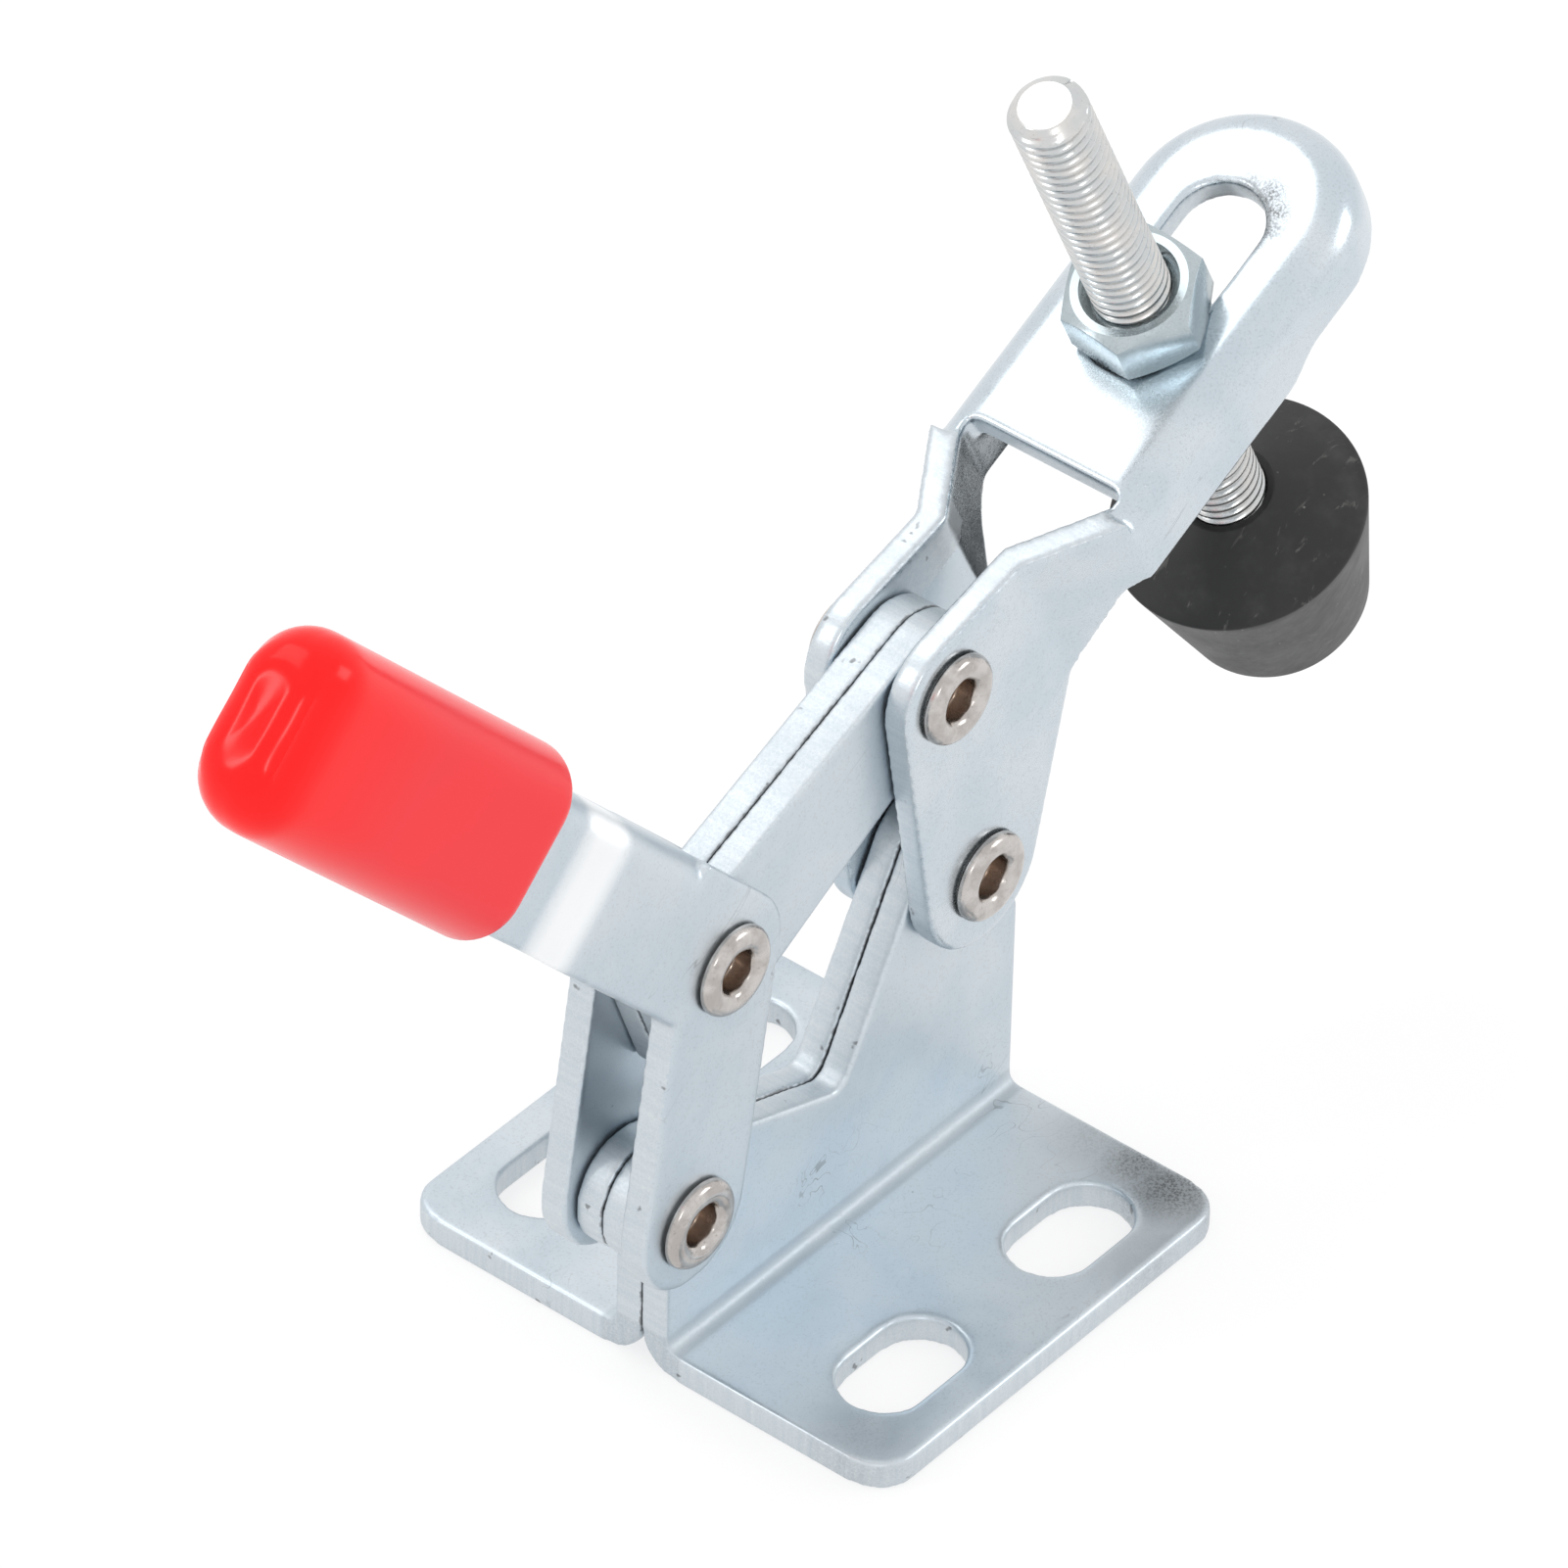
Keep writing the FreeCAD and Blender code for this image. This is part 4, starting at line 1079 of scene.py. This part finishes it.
@dataclass(frozen=True)
class Spindle:
    """The threaded rod, its hexagon head inside the bumper, and the two nuts.

    root and flank are shares of half a turn of the thread: the flat of its root, and its flank.
    """

    root: float = 0.04
    flank: float = 0.74
    pitch: float = 0.8 * MM
    thread_radius: float = 2.5 * MM
    thread_depth: float = 0.42 * MM
    chamfer: float = 0.80 * MM
    chamfer_height: float = 0.62 * MM
    end_hollow: float = 0.05 * MM
    head_height: float = 3.5 * MM
    across_flats: float = 8.0 * MM
    steps_per_turn: int = 14
    columns: int = 56

    def thread(self, phase: np.ndarray) -> np.ndarray:
        """Depth of the thread at a phase from 0 to 1: a narrow rounded root between soft flanks and crests."""
        climb = np.clip((np.abs(2.0 * (phase % 1.0) - 1.0) - self.root) / self.flank, 0.0, 1.0)
        return self.thread_depth * (1.0 - climb * climb * (3.0 - 2.0 * climb))

    def build(self, finishes: "Finishes") -> None:
        """Rod and nuts.

        Row t of the rod's grid runs along the helix: its height is t plus the pitch's share of the turn, so its
        depth in the thread depends on t alone. Heights past an end are held there, within the chamfer's cone.

        Args:
            finishes: the materials.
        """
        station = spindle_station()
        low, high = station.reach("spindle")
        radius, foot = self.thread_radius, low[2] + self.head_height
        turn = np.linspace(0.0, 2 * math.pi, self.columns + 1)[None, :]
        count = math.ceil((high[2] - foot) / self.pitch + 1) * self.steps_per_turn
        start = (np.arange(count) / self.steps_per_turn - 1.0)[:, None]
        height = np.clip(foot + (start + turn / (2 * math.pi)) * self.pitch, foot, high[2])
        cone = radius - self.chamfer + (high[2] - height) * self.chamfer / self.chamfer_height
        reach = np.minimum(radius - self.thread(start), cone)
        reach = np.where(height <= foot, radius - self.thread_depth, reach)
        flat = np.zeros_like(turn)
        end_rows = np.array([[0.93], [0.55], [0.0]]) + flat
        end_height = high[2] - self.end_hollow * (end_rows < 0.9)
        slice_angle = math.pi / 3
        hexagon = self.across_flats / 2 / np.cos((turn + slice_angle / 2) % slice_angle - slice_angle / 2)
        radii = np.concatenate([flat, hexagon, hexagon, reach, (radius - self.chamfer) * end_rows])
        heights = np.concatenate([low[2] + flat, low[2] + flat, foot + flat, height, end_height])
        points = station.place(radii * np.cos(turn), radii * np.sin(turn), heights)
        rod = grid_piece("spindle_threaded", points[:, :-1])
        dress(rod, finishes.bright, "arm", ("spindle",))
        for node in ("upper_nut", "lower_nut"):
            Nut(node).build(finishes.nut)


@dataclass(frozen=True)
class Nut:
    """A chamfered hexagon nut on the spindle."""

    node: str
    bore: float = 2.52 * MM
    sink: float = 0.62 * MM
    crown: float = 3.66 * MM
    slope: float = 0.56
    softness: float = 0.12 * MM
    columns: int = 144

    def build(self, material: bpy.types.Material) -> bpy.types.Object:
        """Ring of rows about the spindle: bore, countersink, flat top, chamfer cone and the six flats.

        A flat's radius is the half width over the cosine of the angle from its middle. The cone falls from the
        crown's radius by the slope, and a small step at its foot softens the edge.

        Args:
            material: the finish.

        Returns:
            The piece.
        """
        station = spindle_station()
        corners = station.local(vertices_of(frame["nodes"][self.node].data))
        widest = corners[np.argmax(np.hypot(corners[:, 0], corners[:, 1]))]
        middle = (corners[:, 2].max() + corners[:, 2].min()) / 2
        half = (corners[:, 2].max() - corners[:, 2].min()) / 2
        sweep = np.linspace(0.0, 2 * math.pi, self.columns, endpoint=False)
        flat_turn = sweep % (math.pi / 3) - math.pi / 6
        flats = math.hypot(widest[0], widest[1]) * math.cos(math.pi / 6) / np.cos(flat_turn)
        rim = flats - self.softness
        foot = half - (rim - self.crown) * self.slope
        ones = np.ones_like(sweep)
        share = np.array([0.0, 0.5, 1.0])[:, None]
        radius = np.concatenate([
            [self.bore * ones, self.bore * ones, (self.bore + self.sink) * ones],
            self.crown + share * (rim - self.crown),
            [flats - 0.3 * self.softness, flats]])
        height = np.concatenate([
            [0.0 * ones, (half - self.sink) * ones, half * ones],
            half + share * (foot - half),
            [foot - 0.35 * self.softness, foot - 1.1 * self.softness]])
        radius = np.concatenate([radius, radius[:0:-1]])
        height = np.concatenate([height, -height[:0:-1]])
        turn = sweep + math.atan2(widest[1], widest[0])
        points = station.place(radius * np.cos(turn), radius * np.sin(turn), middle + height)
        piece = grid_piece(self.node + "_chamfered", points, closed_rows=True, crease=22.0)
        dress(piece, material, "arm", (self.node,))
        return piece


@dataclass(frozen=True)
class Bumper:
    """The rubber cap on the spindle's head."""

    bore: float = 2.55 * MM
    neck: float = 3.05 * MM
    cone_height: float = 2.9 * MM
    face_radius: float = 5.9 * MM
    pocket: float = 4.75 * MM
    pocket_low: float = 4.2 * MM
    pocket_high: float = 8.0 * MM
    wobble: float = 0.035 * MM
    longest_run: float = 0.5 * MM
    columns: int = 128

    def build(self, finishes: "Finishes") -> None:
        """Profile of radius and height turned about the spindle, slightly out of round as moulded rubber is.

        Args:
            finishes: the materials.
        """
        station = spindle_station()
        low, high = station.reach("bumper")
        rim, top = (high[1] - low[1]) / 2, high[2]
        profile = path([
            (0.0, self.pocket_low, 0.0),
            (self.pocket, self.pocket_low, 0.0),
            (self.pocket, self.pocket_high, 0.0),
            (self.bore, self.pocket_high, 0.0),
            (self.bore, top - 0.1 * MM, 0.1 * MM),
            (self.neck, top, 0.15 * MM),
            (rim, top - self.cone_height, 0.22 * MM),
            (self.face_radius, 0.0, 0.55 * MM),
            (0.0, 0.0, 0.0),
        ], steps=9)
        radius, height = resampled(profile, self.longest_run)
        turn = full_turn(self.columns)
        wobble = self.wobble * (np.sin(2 * turn + 0.4) + 0.6 * np.sin(5 * turn)) * (radius[:, None] / rim)
        reach = np.minimum(radius[:, None] + wobble, rim)
        reach = np.where(radius[:, None] > self.neck, reach, radius[:, None])
        points = station.place(reach * np.cos(turn), reach * np.sin(turn), height[:, None])
        piece = grid_piece("bumper_moulded", points)
        place = station.local(vertices_of(piece.data))
        store(piece.data, "side", np.clip((top - self.cone_height - place[:, 2]) / (0.25 * MM), 0.0, 1.0), "POINT")
        dress(piece, finishes.rubber, "arm", ("bumper",))


def resampled(profile: np.ndarray, longest: float) -> tuple[np.ndarray, np.ndarray]:
    """A profile with extra points.

    Args:
        profile: its points, two columns.
        longest: the longest run that may stay.

    Returns:
        The first and the second coordinates.
    """
    runs = np.linalg.norm(np.diff(profile, axis=0), axis=1)
    along = np.concatenate([[0.0], np.cumsum(runs)])
    extra = np.arange(0.0, along[-1], longest)
    places = np.unique(np.round(np.concatenate([along, extra]), 9))
    return np.interp(places, along, profile[:, 0]), np.interp(places, along, profile[:, 1])


@dataclass(frozen=True)
class Grip:
    """The dipped sleeve on the handle's tongue.

    The closed and open sizes say how far its two ends round off, along, to the side and in height. The plastic is
    deeper in colour from its closed end up to deep_until, fading to plain red at plain_from from that end.
    """

    corner: float = 3.9 * MM
    closed_depth: float = 4.0 * MM
    closed_side: float = 2.6 * MM
    closed_height: float = 3.5 * MM
    taper: float = 0.25 * MM
    taper_length: float = 13.0 * MM
    open_depth: float = 1.3 * MM
    open_side: float = 0.9 * MM
    open_height: float = 1.5 * MM
    tongue_side: float = 2.46 * MM
    tongue_above: float = 4.85 * MM
    tongue_below: float = 4.70 * MM
    dimple: float = 0.07 * MM
    unevenness: float = 0.045 * MM
    deep_until: float = 2.0 * MM
    plain_from: float = 15.0 * MM
    pocket_mouth: float = 1.2 * MM
    pocket_end: float = 3.0 * MM
    pocket_corner: float = 0.3 * MM
    corner_share: float = 0.92
    arc_steps: int = 14
    flat_steps: int = 10
    end_steps: int = 12
    long_steps: int = 26
    cap_steps: int = 9

    def section(self) -> tuple[np.ndarray, np.ndarray, np.ndarray]:
        """Turn, and shares of the half width and half height, once round a rounded rectangle.

        Returns:
            Angle of the corner arc at each column, and the signs that the straight runs pass through.
        """
        arc = np.linspace(0.0, math.pi / 2, self.arc_steps)
        flat = np.linspace(1.0, -1.0, self.flat_steps + 2)[1:-1]
        angle, side, rise = [], [], []
        for quarter, (sign_side, sign_rise) in enumerate(((1, 1), (-1, 1), (-1, -1), (1, -1))):
            angle += [arc + quarter * math.pi / 2, np.full(len(flat), (quarter + 1) * math.pi / 2)]
            ones = np.ones(len(arc))
            along_side = quarter % 2 == 0
            side += [sign_side * ones, (flat if quarter == 0 else -flat) if along_side else
                     np.full(len(flat), float(sign_side))]
            rise += [sign_rise * ones, np.full(len(flat), float(sign_rise)) if along_side else
                     (flat if quarter == 1 else -flat)]
        return np.concatenate(angle), np.concatenate(side), np.concatenate(rise)

    def rows(self, low: np.ndarray, high: np.ndarray) -> tuple[np.ndarray, np.ndarray, np.ndarray]:
        """Rows from the closed end to the open end, and back inside to the tongue's end.

        The outer half sizes shrink along a quarter ellipse at each end. The last two rows are the pocket's.

        Args:
            low: lowest corner of the sleeve in the handle's frame.
            high: its highest corner.

        Returns:
            Place along the handle, half width and half height of each row.
        """
        half_side, half_rise = (high[1] - low[1]) / 2, (high[2] - low[2]) / 2
        quarter = np.linspace(0.0, math.pi / 2, self.end_steps)
        closed, opened = np.sin(quarter), np.cos(quarter)
        long_rows = np.linspace(low[0] + self.closed_depth, high[0] - self.open_depth, self.long_steps)[1:-1]
        along = np.concatenate([
            low[0] + self.closed_depth * (1 - np.cos(quarter)), long_rows,
            high[0] - self.open_depth * (1 - np.sin(quarter)),
            [high[0] - self.pocket_mouth, low[0] + self.pocket_end]])
        ones = np.ones(len(long_rows))
        side = np.concatenate([half_side - self.closed_side * (1 - closed), half_side * ones,
                               half_side - self.open_side * (1 - opened), [self.tongue_side] * 2])
        rise = np.concatenate([half_rise - self.closed_height * (1 - closed), half_rise * ones,
                               half_rise - self.open_height * (1 - opened),
                               [(self.tongue_above + self.tongue_below) / 2] * 2])
        fade = np.clip((along - low[0]) / self.taper_length, 0.0, 1.0)
        side = side - np.where(side > self.tongue_side, self.taper * (1 + np.cos(math.pi * fade)) / 2, 0.0)
        return along, side, rise

    def build(self, finishes: "Finishes") -> None:
        """Outer skin, open lip and pocket as one closed surface.

        Each row is a rounded rectangle. The closed end goes on to a pole, with a shallow hollow and soft waves
        pressed into it.

        Args:
            finishes: the materials.
        """
        station = handle_station()
        low, high = station.reach("grip")
        along, side, rise = self.rows(low, high)
        middle_rise = (high[2] + low[2]) / 2
        corner = np.minimum(self.corner, self.corner_share * np.minimum(side, rise))
        corner[-2:] = self.pocket_corner
        centre = np.full(len(along), middle_rise)
        centre[-2:] = (self.tongue_above - self.tongue_below) / 2
        angle, sign_side, sign_rise = self.section()
        across = sign_side * (side - corner)[:, None] + corner[:, None] * np.cos(angle)
        up = centre[:, None] + sign_rise * (rise - corner)[:, None] + corner[:, None] * np.sin(angle)
        shrink = np.linspace(0.0, 1.0, self.cap_steps)[:-1, None]
        cap_across = across[0] * shrink
        cap_up = middle_rise + (up[0] - middle_rise) * shrink
        cap_along = low[0] + self.dimple * np.cos(shrink * math.pi / 2) ** 2 + 0.0 * cap_across
        pole = np.zeros((1, len(angle)))
        across = np.concatenate([cap_across, across, pole])
        up = np.concatenate([cap_up, up, pole + centre[-1]])
        along = np.concatenate([cap_along, along[:, None] + pole, pole + along[-1]])
        waves = 1.0 + np.sin((1.1 * up + 0.7 * across) / MM + 0.6) * np.cos((0.6 * up - 0.9 * across) / MM)
        along = along + self.unevenness * waves * np.clip(1.0 - (along - low[0]) / self.closed_depth, 0.0, 1.0)
        piece = grid_piece("grip_dipped", station.place(along, across, up))
        place = station.local(vertices_of(piece.data))
        deep_share = (low[0] + self.plain_from - place[:, 0]) / (self.plain_from - self.deep_until)
        store(piece.data, "end", np.clip(deep_share, 0.0, 1.0), "POINT")
        dress(piece, finishes.plastic, "handle", ("grip",))


@dataclass(frozen=True)
class Finishes:
    """The materials in use."""

    base: bpy.types.Material
    handle: bpy.types.Material
    link: bpy.types.Material
    arm: bpy.types.Material
    nut: bpy.types.Material
    bright: bpy.types.Material
    rivet: bpy.types.Material
    washer: bpy.types.Material
    plastic: bpy.types.Material
    rubber: bpy.types.Material

    @classmethod
    def make(cls) -> "Finishes":
        """Every finish, built once.

        Returns:
            The materials.
        """
        # Painted dark reflection: speckled dark patches on the base's flange corners, standing in for a dark surround
        # mirrored there.
        corners = (Mark(14.9, -15.8, 2.0, 4.8, 1.0), Mark(15.5, -12.8, 2.0, 4.0, 0.85),
                   Mark(15.6, -9.2, 2.0, 4.4, 0.34), Mark(-14.2, -15.6, 2.0, 5.0, 0.34),
                   Mark(9.0, -18.4, 2.0, 5.0, 0.22))
        curls = (Mark(-2.5, -2.0, 6.4, 3.2, 0.60), Mark(-0.8, -3.9, 2.0, 2.4, 0.55),
                 Mark(14.2, -2.0, 4.6, 2.6, 0.35), Mark(1.9, -2.0, 7.0, 3.0, 0.25))
        slot_edge = (Mark(39.3, -0.3, 57.15, 1.5, 0.75), Mark(39.1, -1.7, 57.05, 2.0, 1.00),
                     Mark(38.3, -2.75, 56.7, 1.9, 1.00), Mark(37.3, -3.2, 56.2, 1.6, 0.90),
                     Mark(36.2, -3.2, 55.65, 1.2, 0.55))
        return cls(
            base=ZincSheet("zinc_base", seam=0.16 * MM, bend=2.9 * MM, dark_speckle_patches=corners, curls=curls).build(),
            # Painted highlight band where the handle's sheet is pinched in by the grip.
            handle=ZincSheet("zinc_handle", highlight_band=(50.6, 1.9, 133.3)).build(),
            link=ZincSheet("zinc_link", seam=0.16 * MM).build(),
            arm=ZincSheet("zinc_arm", polish=0.24, dark_speckle_patches=slot_edge).build(),
            nut=ZincSheet("zinc_nut", face=(0.40, 0.47, 0.50), face_pale=(0.55, 0.61, 0.635), polish=0.22).build(),
            bright=BrightSteel().build(),
            rivet=NickelRivet().build(),
            # Painted shadow: the washers get a dark finish so that they read as the contact shadow under each rivet
            # head.
            washer=NickelRivet("washer_painted_shadow", body=(0.17, 0.16, 0.15), bright=(0.30, 0.285, 0.27)).build(),
            plastic=DippedPlastic().build(),
            rubber=MouldedRubber().build(),
        )


@dataclass(frozen=True)
class Softbox:
    """A white area lamp that looks at the clamp: where it stands, its width, its power in watts, its height."""

    name: str
    place: tuple[float, float, float]
    width: float
    power: float
    height: float


@dataclass(frozen=True)
class Studio:
    """Floor, surroundings, lamps and camera."""

    frame_pixels: float = 1601.0
    focal_pixels: float = 12716.1
    sensor: float = 36.0
    azimuth: float = -51.0936
    elevation: float = 39.5900
    roll: float = 1.2604
    distance: float = 0.750
    aim: tuple[float, float, float] = (5.816 * MM, 7.863 * MM, 26.971 * MM)
    floor_side: float = 6.0
    floor_drop: float = 0.02 * MM
    floor_glow: float = 0.72
    paper: float = 0.86
    ambient: float = 0.98
    softboxes: tuple[Softbox, ...] = (
        Softbox("key_above", (0.02, 0.46, 0.82), 0.46, 0.95, 0.46),
        Softbox("camera_side", (-0.66, -0.50, 0.62), 0.07, 0.46, 0.20),
        Softbox("edge_right", (0.52, -0.55, 0.42), 0.30, 0.80, 0.30),
        Softbox("edge_left", (-0.62, 0.46, 0.58), 0.10, 0.70, 0.34),
    )

    def camera(self) -> None:
        """Camera at the photograph's angle: azimuth, elevation and roll about the point aimed at."""
        azimuth, elevation, roll = (math.radians(value) for value in (self.azimuth, self.elevation, self.roll))
        back = np.array([math.sin(azimuth) * math.cos(elevation), -math.cos(azimuth) * math.cos(elevation),
                         math.sin(elevation)])
        level = np.array([math.cos(azimuth), math.sin(azimuth), 0.0])
        upright = np.cross(back, level)
        right = math.cos(roll) * level + math.sin(roll) * upright
        up = math.cos(roll) * upright - math.sin(roll) * level
        place = np.array(self.aim) + self.distance * back
        data = bpy.data.cameras.new("view")
        data.sensor_width = self.sensor
        data.lens = self.sensor * self.focal_pixels / self.frame_pixels
        data.clip_start, data.clip_end = 0.01, 20.0
        bpy.context.scene.camera = stood("view", data, (right, up, back), place)

    def lamps(self) -> None:
        """One area lamp for each softbox."""
        for box in self.softboxes:
            data = bpy.data.lights.new(box.name, "AREA")
            data.shape = "RECTANGLE"
            data.size, data.size_y = box.width, box.height
            data.energy = box.power
            back = np.array(box.place) - np.array(self.aim)
            back /= np.linalg.norm(back)
            level = np.cross((0.0, 0.0, 1.0), back)
            level /= np.linalg.norm(level)
            stood(box.name, data, (level, np.cross(back, level), back), box.place)

    def floor(self) -> None:
        """Pale floor that the camera and the metal see as near white, with the clamp's soft shadow on it."""
        half = self.floor_side / 2
        mesh = bpy.data.meshes.new("floor")
        mesh.from_pydata([(-half, -half, 0), (half, -half, 0), (half, half, 0), (-half, half, 0)], [], [(0, 1, 2, 3)])
        floor = bpy.data.objects.new("floor", mesh)
        floor.location.z = -self.floor_drop
        bpy.context.scene.collection.objects.link(floor)
        material = bpy.data.materials.new("floor_paper")
        material.use_nodes = True
        tree = material.node_tree
        tree.nodes.clear()
        plain, pale = tree.nodes.new("ShaderNodeBsdfDiffuse"), tree.nodes.new("ShaderNodeBsdfDiffuse")
        plain.inputs["Color"].default_value = (self.paper,) * 3 + (1.0,)
        pale.inputs["Color"].default_value = (1.0 - self.floor_glow,) * 3 + (1.0,)
        glow, both = tree.nodes.new("ShaderNodeEmission"), tree.nodes.new("ShaderNodeAddShader")
        glow.inputs["Strength"].default_value = self.floor_glow
        tree.links.new(pale.outputs[0], both.inputs[0])
        tree.links.new(glow.outputs[0], both.inputs[1])
        shown_by_ray(tree, both, plain, "ShaderNodeOutputMaterial")
        mesh.materials.append(material)

    def surroundings(self) -> None:
        """World: white where the camera or a reflection sees it, and an even soft light for the rest."""
        world = bpy.data.worlds.new("studio")
        world.use_nodes = True
        tree = world.node_tree
        tree.nodes.clear()
        seen, light = tree.nodes.new("ShaderNodeBackground"), tree.nodes.new("ShaderNodeBackground")
        seen.inputs["Color"].default_value = (1.0, 1.0, 1.0, 1.0)
        light.inputs["Color"].default_value = (1.0, 1.0, 1.0, 1.0)
        light.inputs["Strength"].default_value = self.ambient
        shown_by_ray(tree, seen, light, "ShaderNodeOutputWorld")
        bpy.context.scene.world = world

    def build(self) -> None:
        """Everything round the clamp."""
        bpy.context.scene.view_settings.view_transform = "Standard"
        self.camera()
        self.lamps()
        self.floor()
        self.surroundings()


def stood(name: str, data: bpy.types.ID, axes: tuple[np.ndarray, ...], place: np.ndarray) -> bpy.types.Object:
    """Puts a camera or lamp in the scene.

    Args:
        name: its name.
        data: its settings.
        axes: directions of its X, Y and Z axes; it looks against Z.
        place: where it stands.

    Returns:
        The camera or lamp.
    """
    thing = bpy.data.objects.new(name, data)
    thing.matrix_world = Matrix([[*(axis[i] for axis in axes), place[i]] for i in range(3)] + [[0, 0, 0, 1]])
    bpy.context.scene.collection.objects.link(thing)
    return thing


def shown_by_ray(tree: bpy.types.NodeTree, seen: bpy.types.Node, unseen: bpy.types.Node, output: str) -> None:
    """Shows one shader to the camera and in reflections, and another to all other rays.

    Args:
        tree: the node tree.
        seen: shader for the camera and reflections.
        unseen: shader for the other rays.
        output: kind of the tree's output node.
    """
    mix, end = tree.nodes.new("ShaderNodeMixShader"), tree.nodes.new(output)
    tree.links.new(seen_directly(tree), mix.inputs["Fac"])
    tree.links.new(unseen.outputs[0], mix.inputs[1])
    tree.links.new(seen.outputs[0], mix.inputs[2])
    tree.links.new(mix.outputs[0], end.inputs["Surface"])


def seen_directly(tree: bpy.types.NodeTree) -> Socket:
    """Tells the camera's and reflected rays from the rest.

    Args:
        tree: the node tree.

    Returns:
        1 for camera, glossy and transmission rays, else 0.
    """
    rays = tree.nodes.new("ShaderNodeLightPath")
    share = rays.outputs["Is Camera Ray"]
    for name in ("Is Glossy Ray", "Is Transmission Ray"):
        either = tree.nodes.new("ShaderNodeMath")
        either.operation = "MAXIMUM"
        tree.links.new(share, either.inputs[0])
        tree.links.new(rays.outputs[name], either.inputs[1])
        share = either.outputs[0]
    return share


def main() -> None:
    """Dresses the clamp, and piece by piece."""
    logging.basicConfig(level=logging.INFO)
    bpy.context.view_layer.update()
    finishes = Finishes.make()
    for part in (Base(), Linkage(), Arm(), Spindle(), Bumper(), Grip()):
        LOG.info("building %s", type(part).__name__)
        part.build(finishes)
    Studio().build()


if __name__ == "__main__":
    main()
